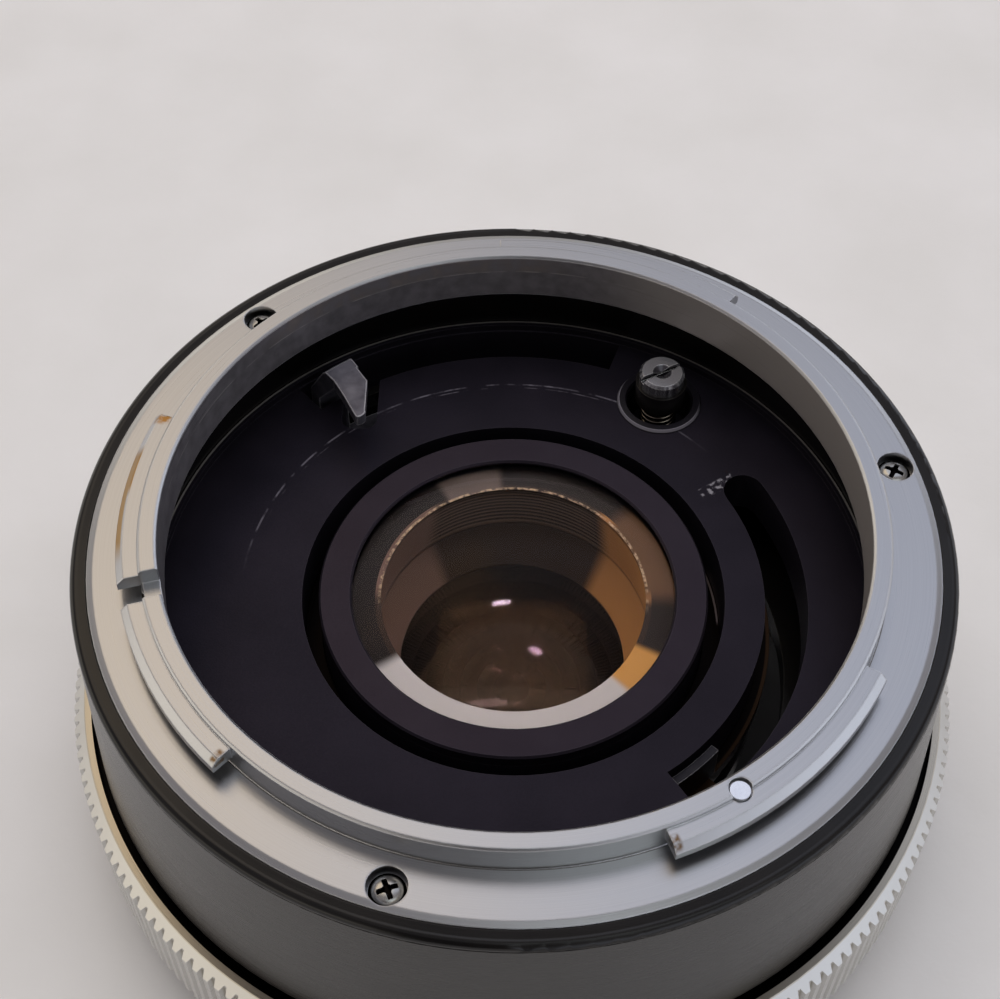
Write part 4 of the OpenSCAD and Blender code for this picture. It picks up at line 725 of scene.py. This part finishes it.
def room_light():
    """A room round the part: dull walls, light from low down on both sides, warm to the left and cool to the
    right, a bright ceiling beyond it and at the right, and a dark gap in front. The masks read the parts of
    the unit vector that looks into the room: x to the right, y away and z up."""
    world = bpy.data.worlds.new("room")
    world.use_nodes = True
    tree = world.node_tree
    tree.nodes.clear()
    way = add(tree, "ShaderNodeTexCoord").outputs["Generated"]
    x, y, z = add(tree, "ShaderNodeSeparateXYZ", None, {0: way}).outputs
    low = between(tree, z, -1.1, 0.22, 0.25)
    left = between(tree, x, -1.1, -0.40, 0.35)
    right = between(tree, x, 0.40, 1.1, 0.35)
    ceiling = [between(tree, z, 0.77, 1.1, 0.14), between(tree, y, 0.36, 1.1, 0.14)]
    colour = paint(
        tree, "#7B7779",
        ("#A09C98", low),
        ("#F5ECDE", low, left),
        ("#E4E9F6", low, right),
        ("#DADDEA", *ceiling, between(tree, x, -0.45, 0.45, 0.20)),
        ("#FFEACE", *ceiling, between(tree, x, -0.55, -0.16, 0.14)),
        ("#BDC2D2", *ceiling, between(tree, x, 0.16, 0.45, 0.14)),
        ("#D4DADC", between(tree, x, 0.05, 0.60, 0.08), between(tree, y, -0.75, -0.25, 0.12),
         between(tree, z, 0.72, 1.1, 0.10)),
        ("#3A3638", between(tree, x, -0.34, 0.17, 0.12), between(tree, y, -1.1, -0.50, 0.20),
         between(tree, z, -0.3, 0.82, 0.10)))
    sky = add(tree, "ShaderNodeBackground", None, {"Color": colour, "Strength": 1.3})
    add(tree, "ShaderNodeOutputWorld", None, {"Surface": sky})
    bpy.context.scene.world = world


def lamp(name, place_mm, aim_mm, width, height, watts, colour, only=()):
    """A rectangular soft lamp that faces its aim point, with sizes and places in millimetres.

    It lights the whole scene without showing in polished surfaces. One made for some pieces only shows in
    their polish, and leaves all other pieces unlit."""
    light = bpy.data.lights.new(name, "AREA")
    light.shape = "RECTANGLE"
    light.size = width * MM
    light.size_y = height * MM
    light.energy = watts
    light.color = linear(colour)[:3]
    holder = bpy.data.objects.new(name, light)
    holder.visible_glossy = bool(only)
    if only:
        unlit = bpy.data.collections.new(name + "_unlit")
        for piece in bpy.context.scene.objects:
            if piece.type == "MESH" and piece not in only:
                unlit.objects.link(piece)
        for link in unlit.collection_objects:
            link.light_linking.link_state = "EXCLUDE"
        holder.light_linking.receiver_collection = unlit
    start = Vector(place_mm) * MM
    way = Vector(aim_mm) * MM - start
    holder.matrix_world = Matrix.Translation(start) @ way.to_track_quat("-Z", "Y").to_matrix().to_4x4()
    bpy.context.scene.collection.objects.link(holder)


def photo_camera():
    """The camera of the photograph: its place, aim, roll and focal length fitted to the part's circles."""
    place_m = Vector((0.0, -70.951, 123.873)) * MM
    aim_m = Vector((-1.018, 0.653, REGISTER_Z)) * MM
    roll = math.radians(0.414)
    way = (aim_m - place_m).normalized()
    right = way.cross(Vector((0, 0, 1))).normalized()
    up = right.cross(way)
    tilted_right = math.cos(roll) * right + math.sin(roll) * up
    tilted_up = math.cos(roll) * up - math.sin(roll) * right
    lens = bpy.data.cameras.new("photo_camera")
    lens.sensor_width = 36.0
    lens.lens = 62.07
    lens.clip_start = 0.001
    camera = bpy.data.objects.new("photo_camera", lens)
    turn = Matrix((tilted_right, tilted_up, -way)).transposed().to_4x4()
    camera.matrix_world = Matrix.Translation(place_m) @ turn
    bpy.context.scene.collection.objects.link(camera)
    bpy.context.scene.camera = camera


GLASS = [NODES[name] for name in
         ("front_element", "pair_front_element", "pair_rear_element", "rear_element")]
pale_table()
room_light()
photo_camera()
lamp("overhead_softbox", (0, 60, 620), (0, 0, 25), 700, 500, 2.8, "#FCFCFF")
lamp("ceiling_tube", (-30, 260, 560), (0, 0, 25), 50, 14, 0.6, "#E4DEFF", GLASS)
lamp("window_slit", (60, 120, 600), (0, 0, 25), 40, 16, 0.6, "#CFC8FF", GLASS)
bpy.context.scene.view_settings.view_transform = "Standard"
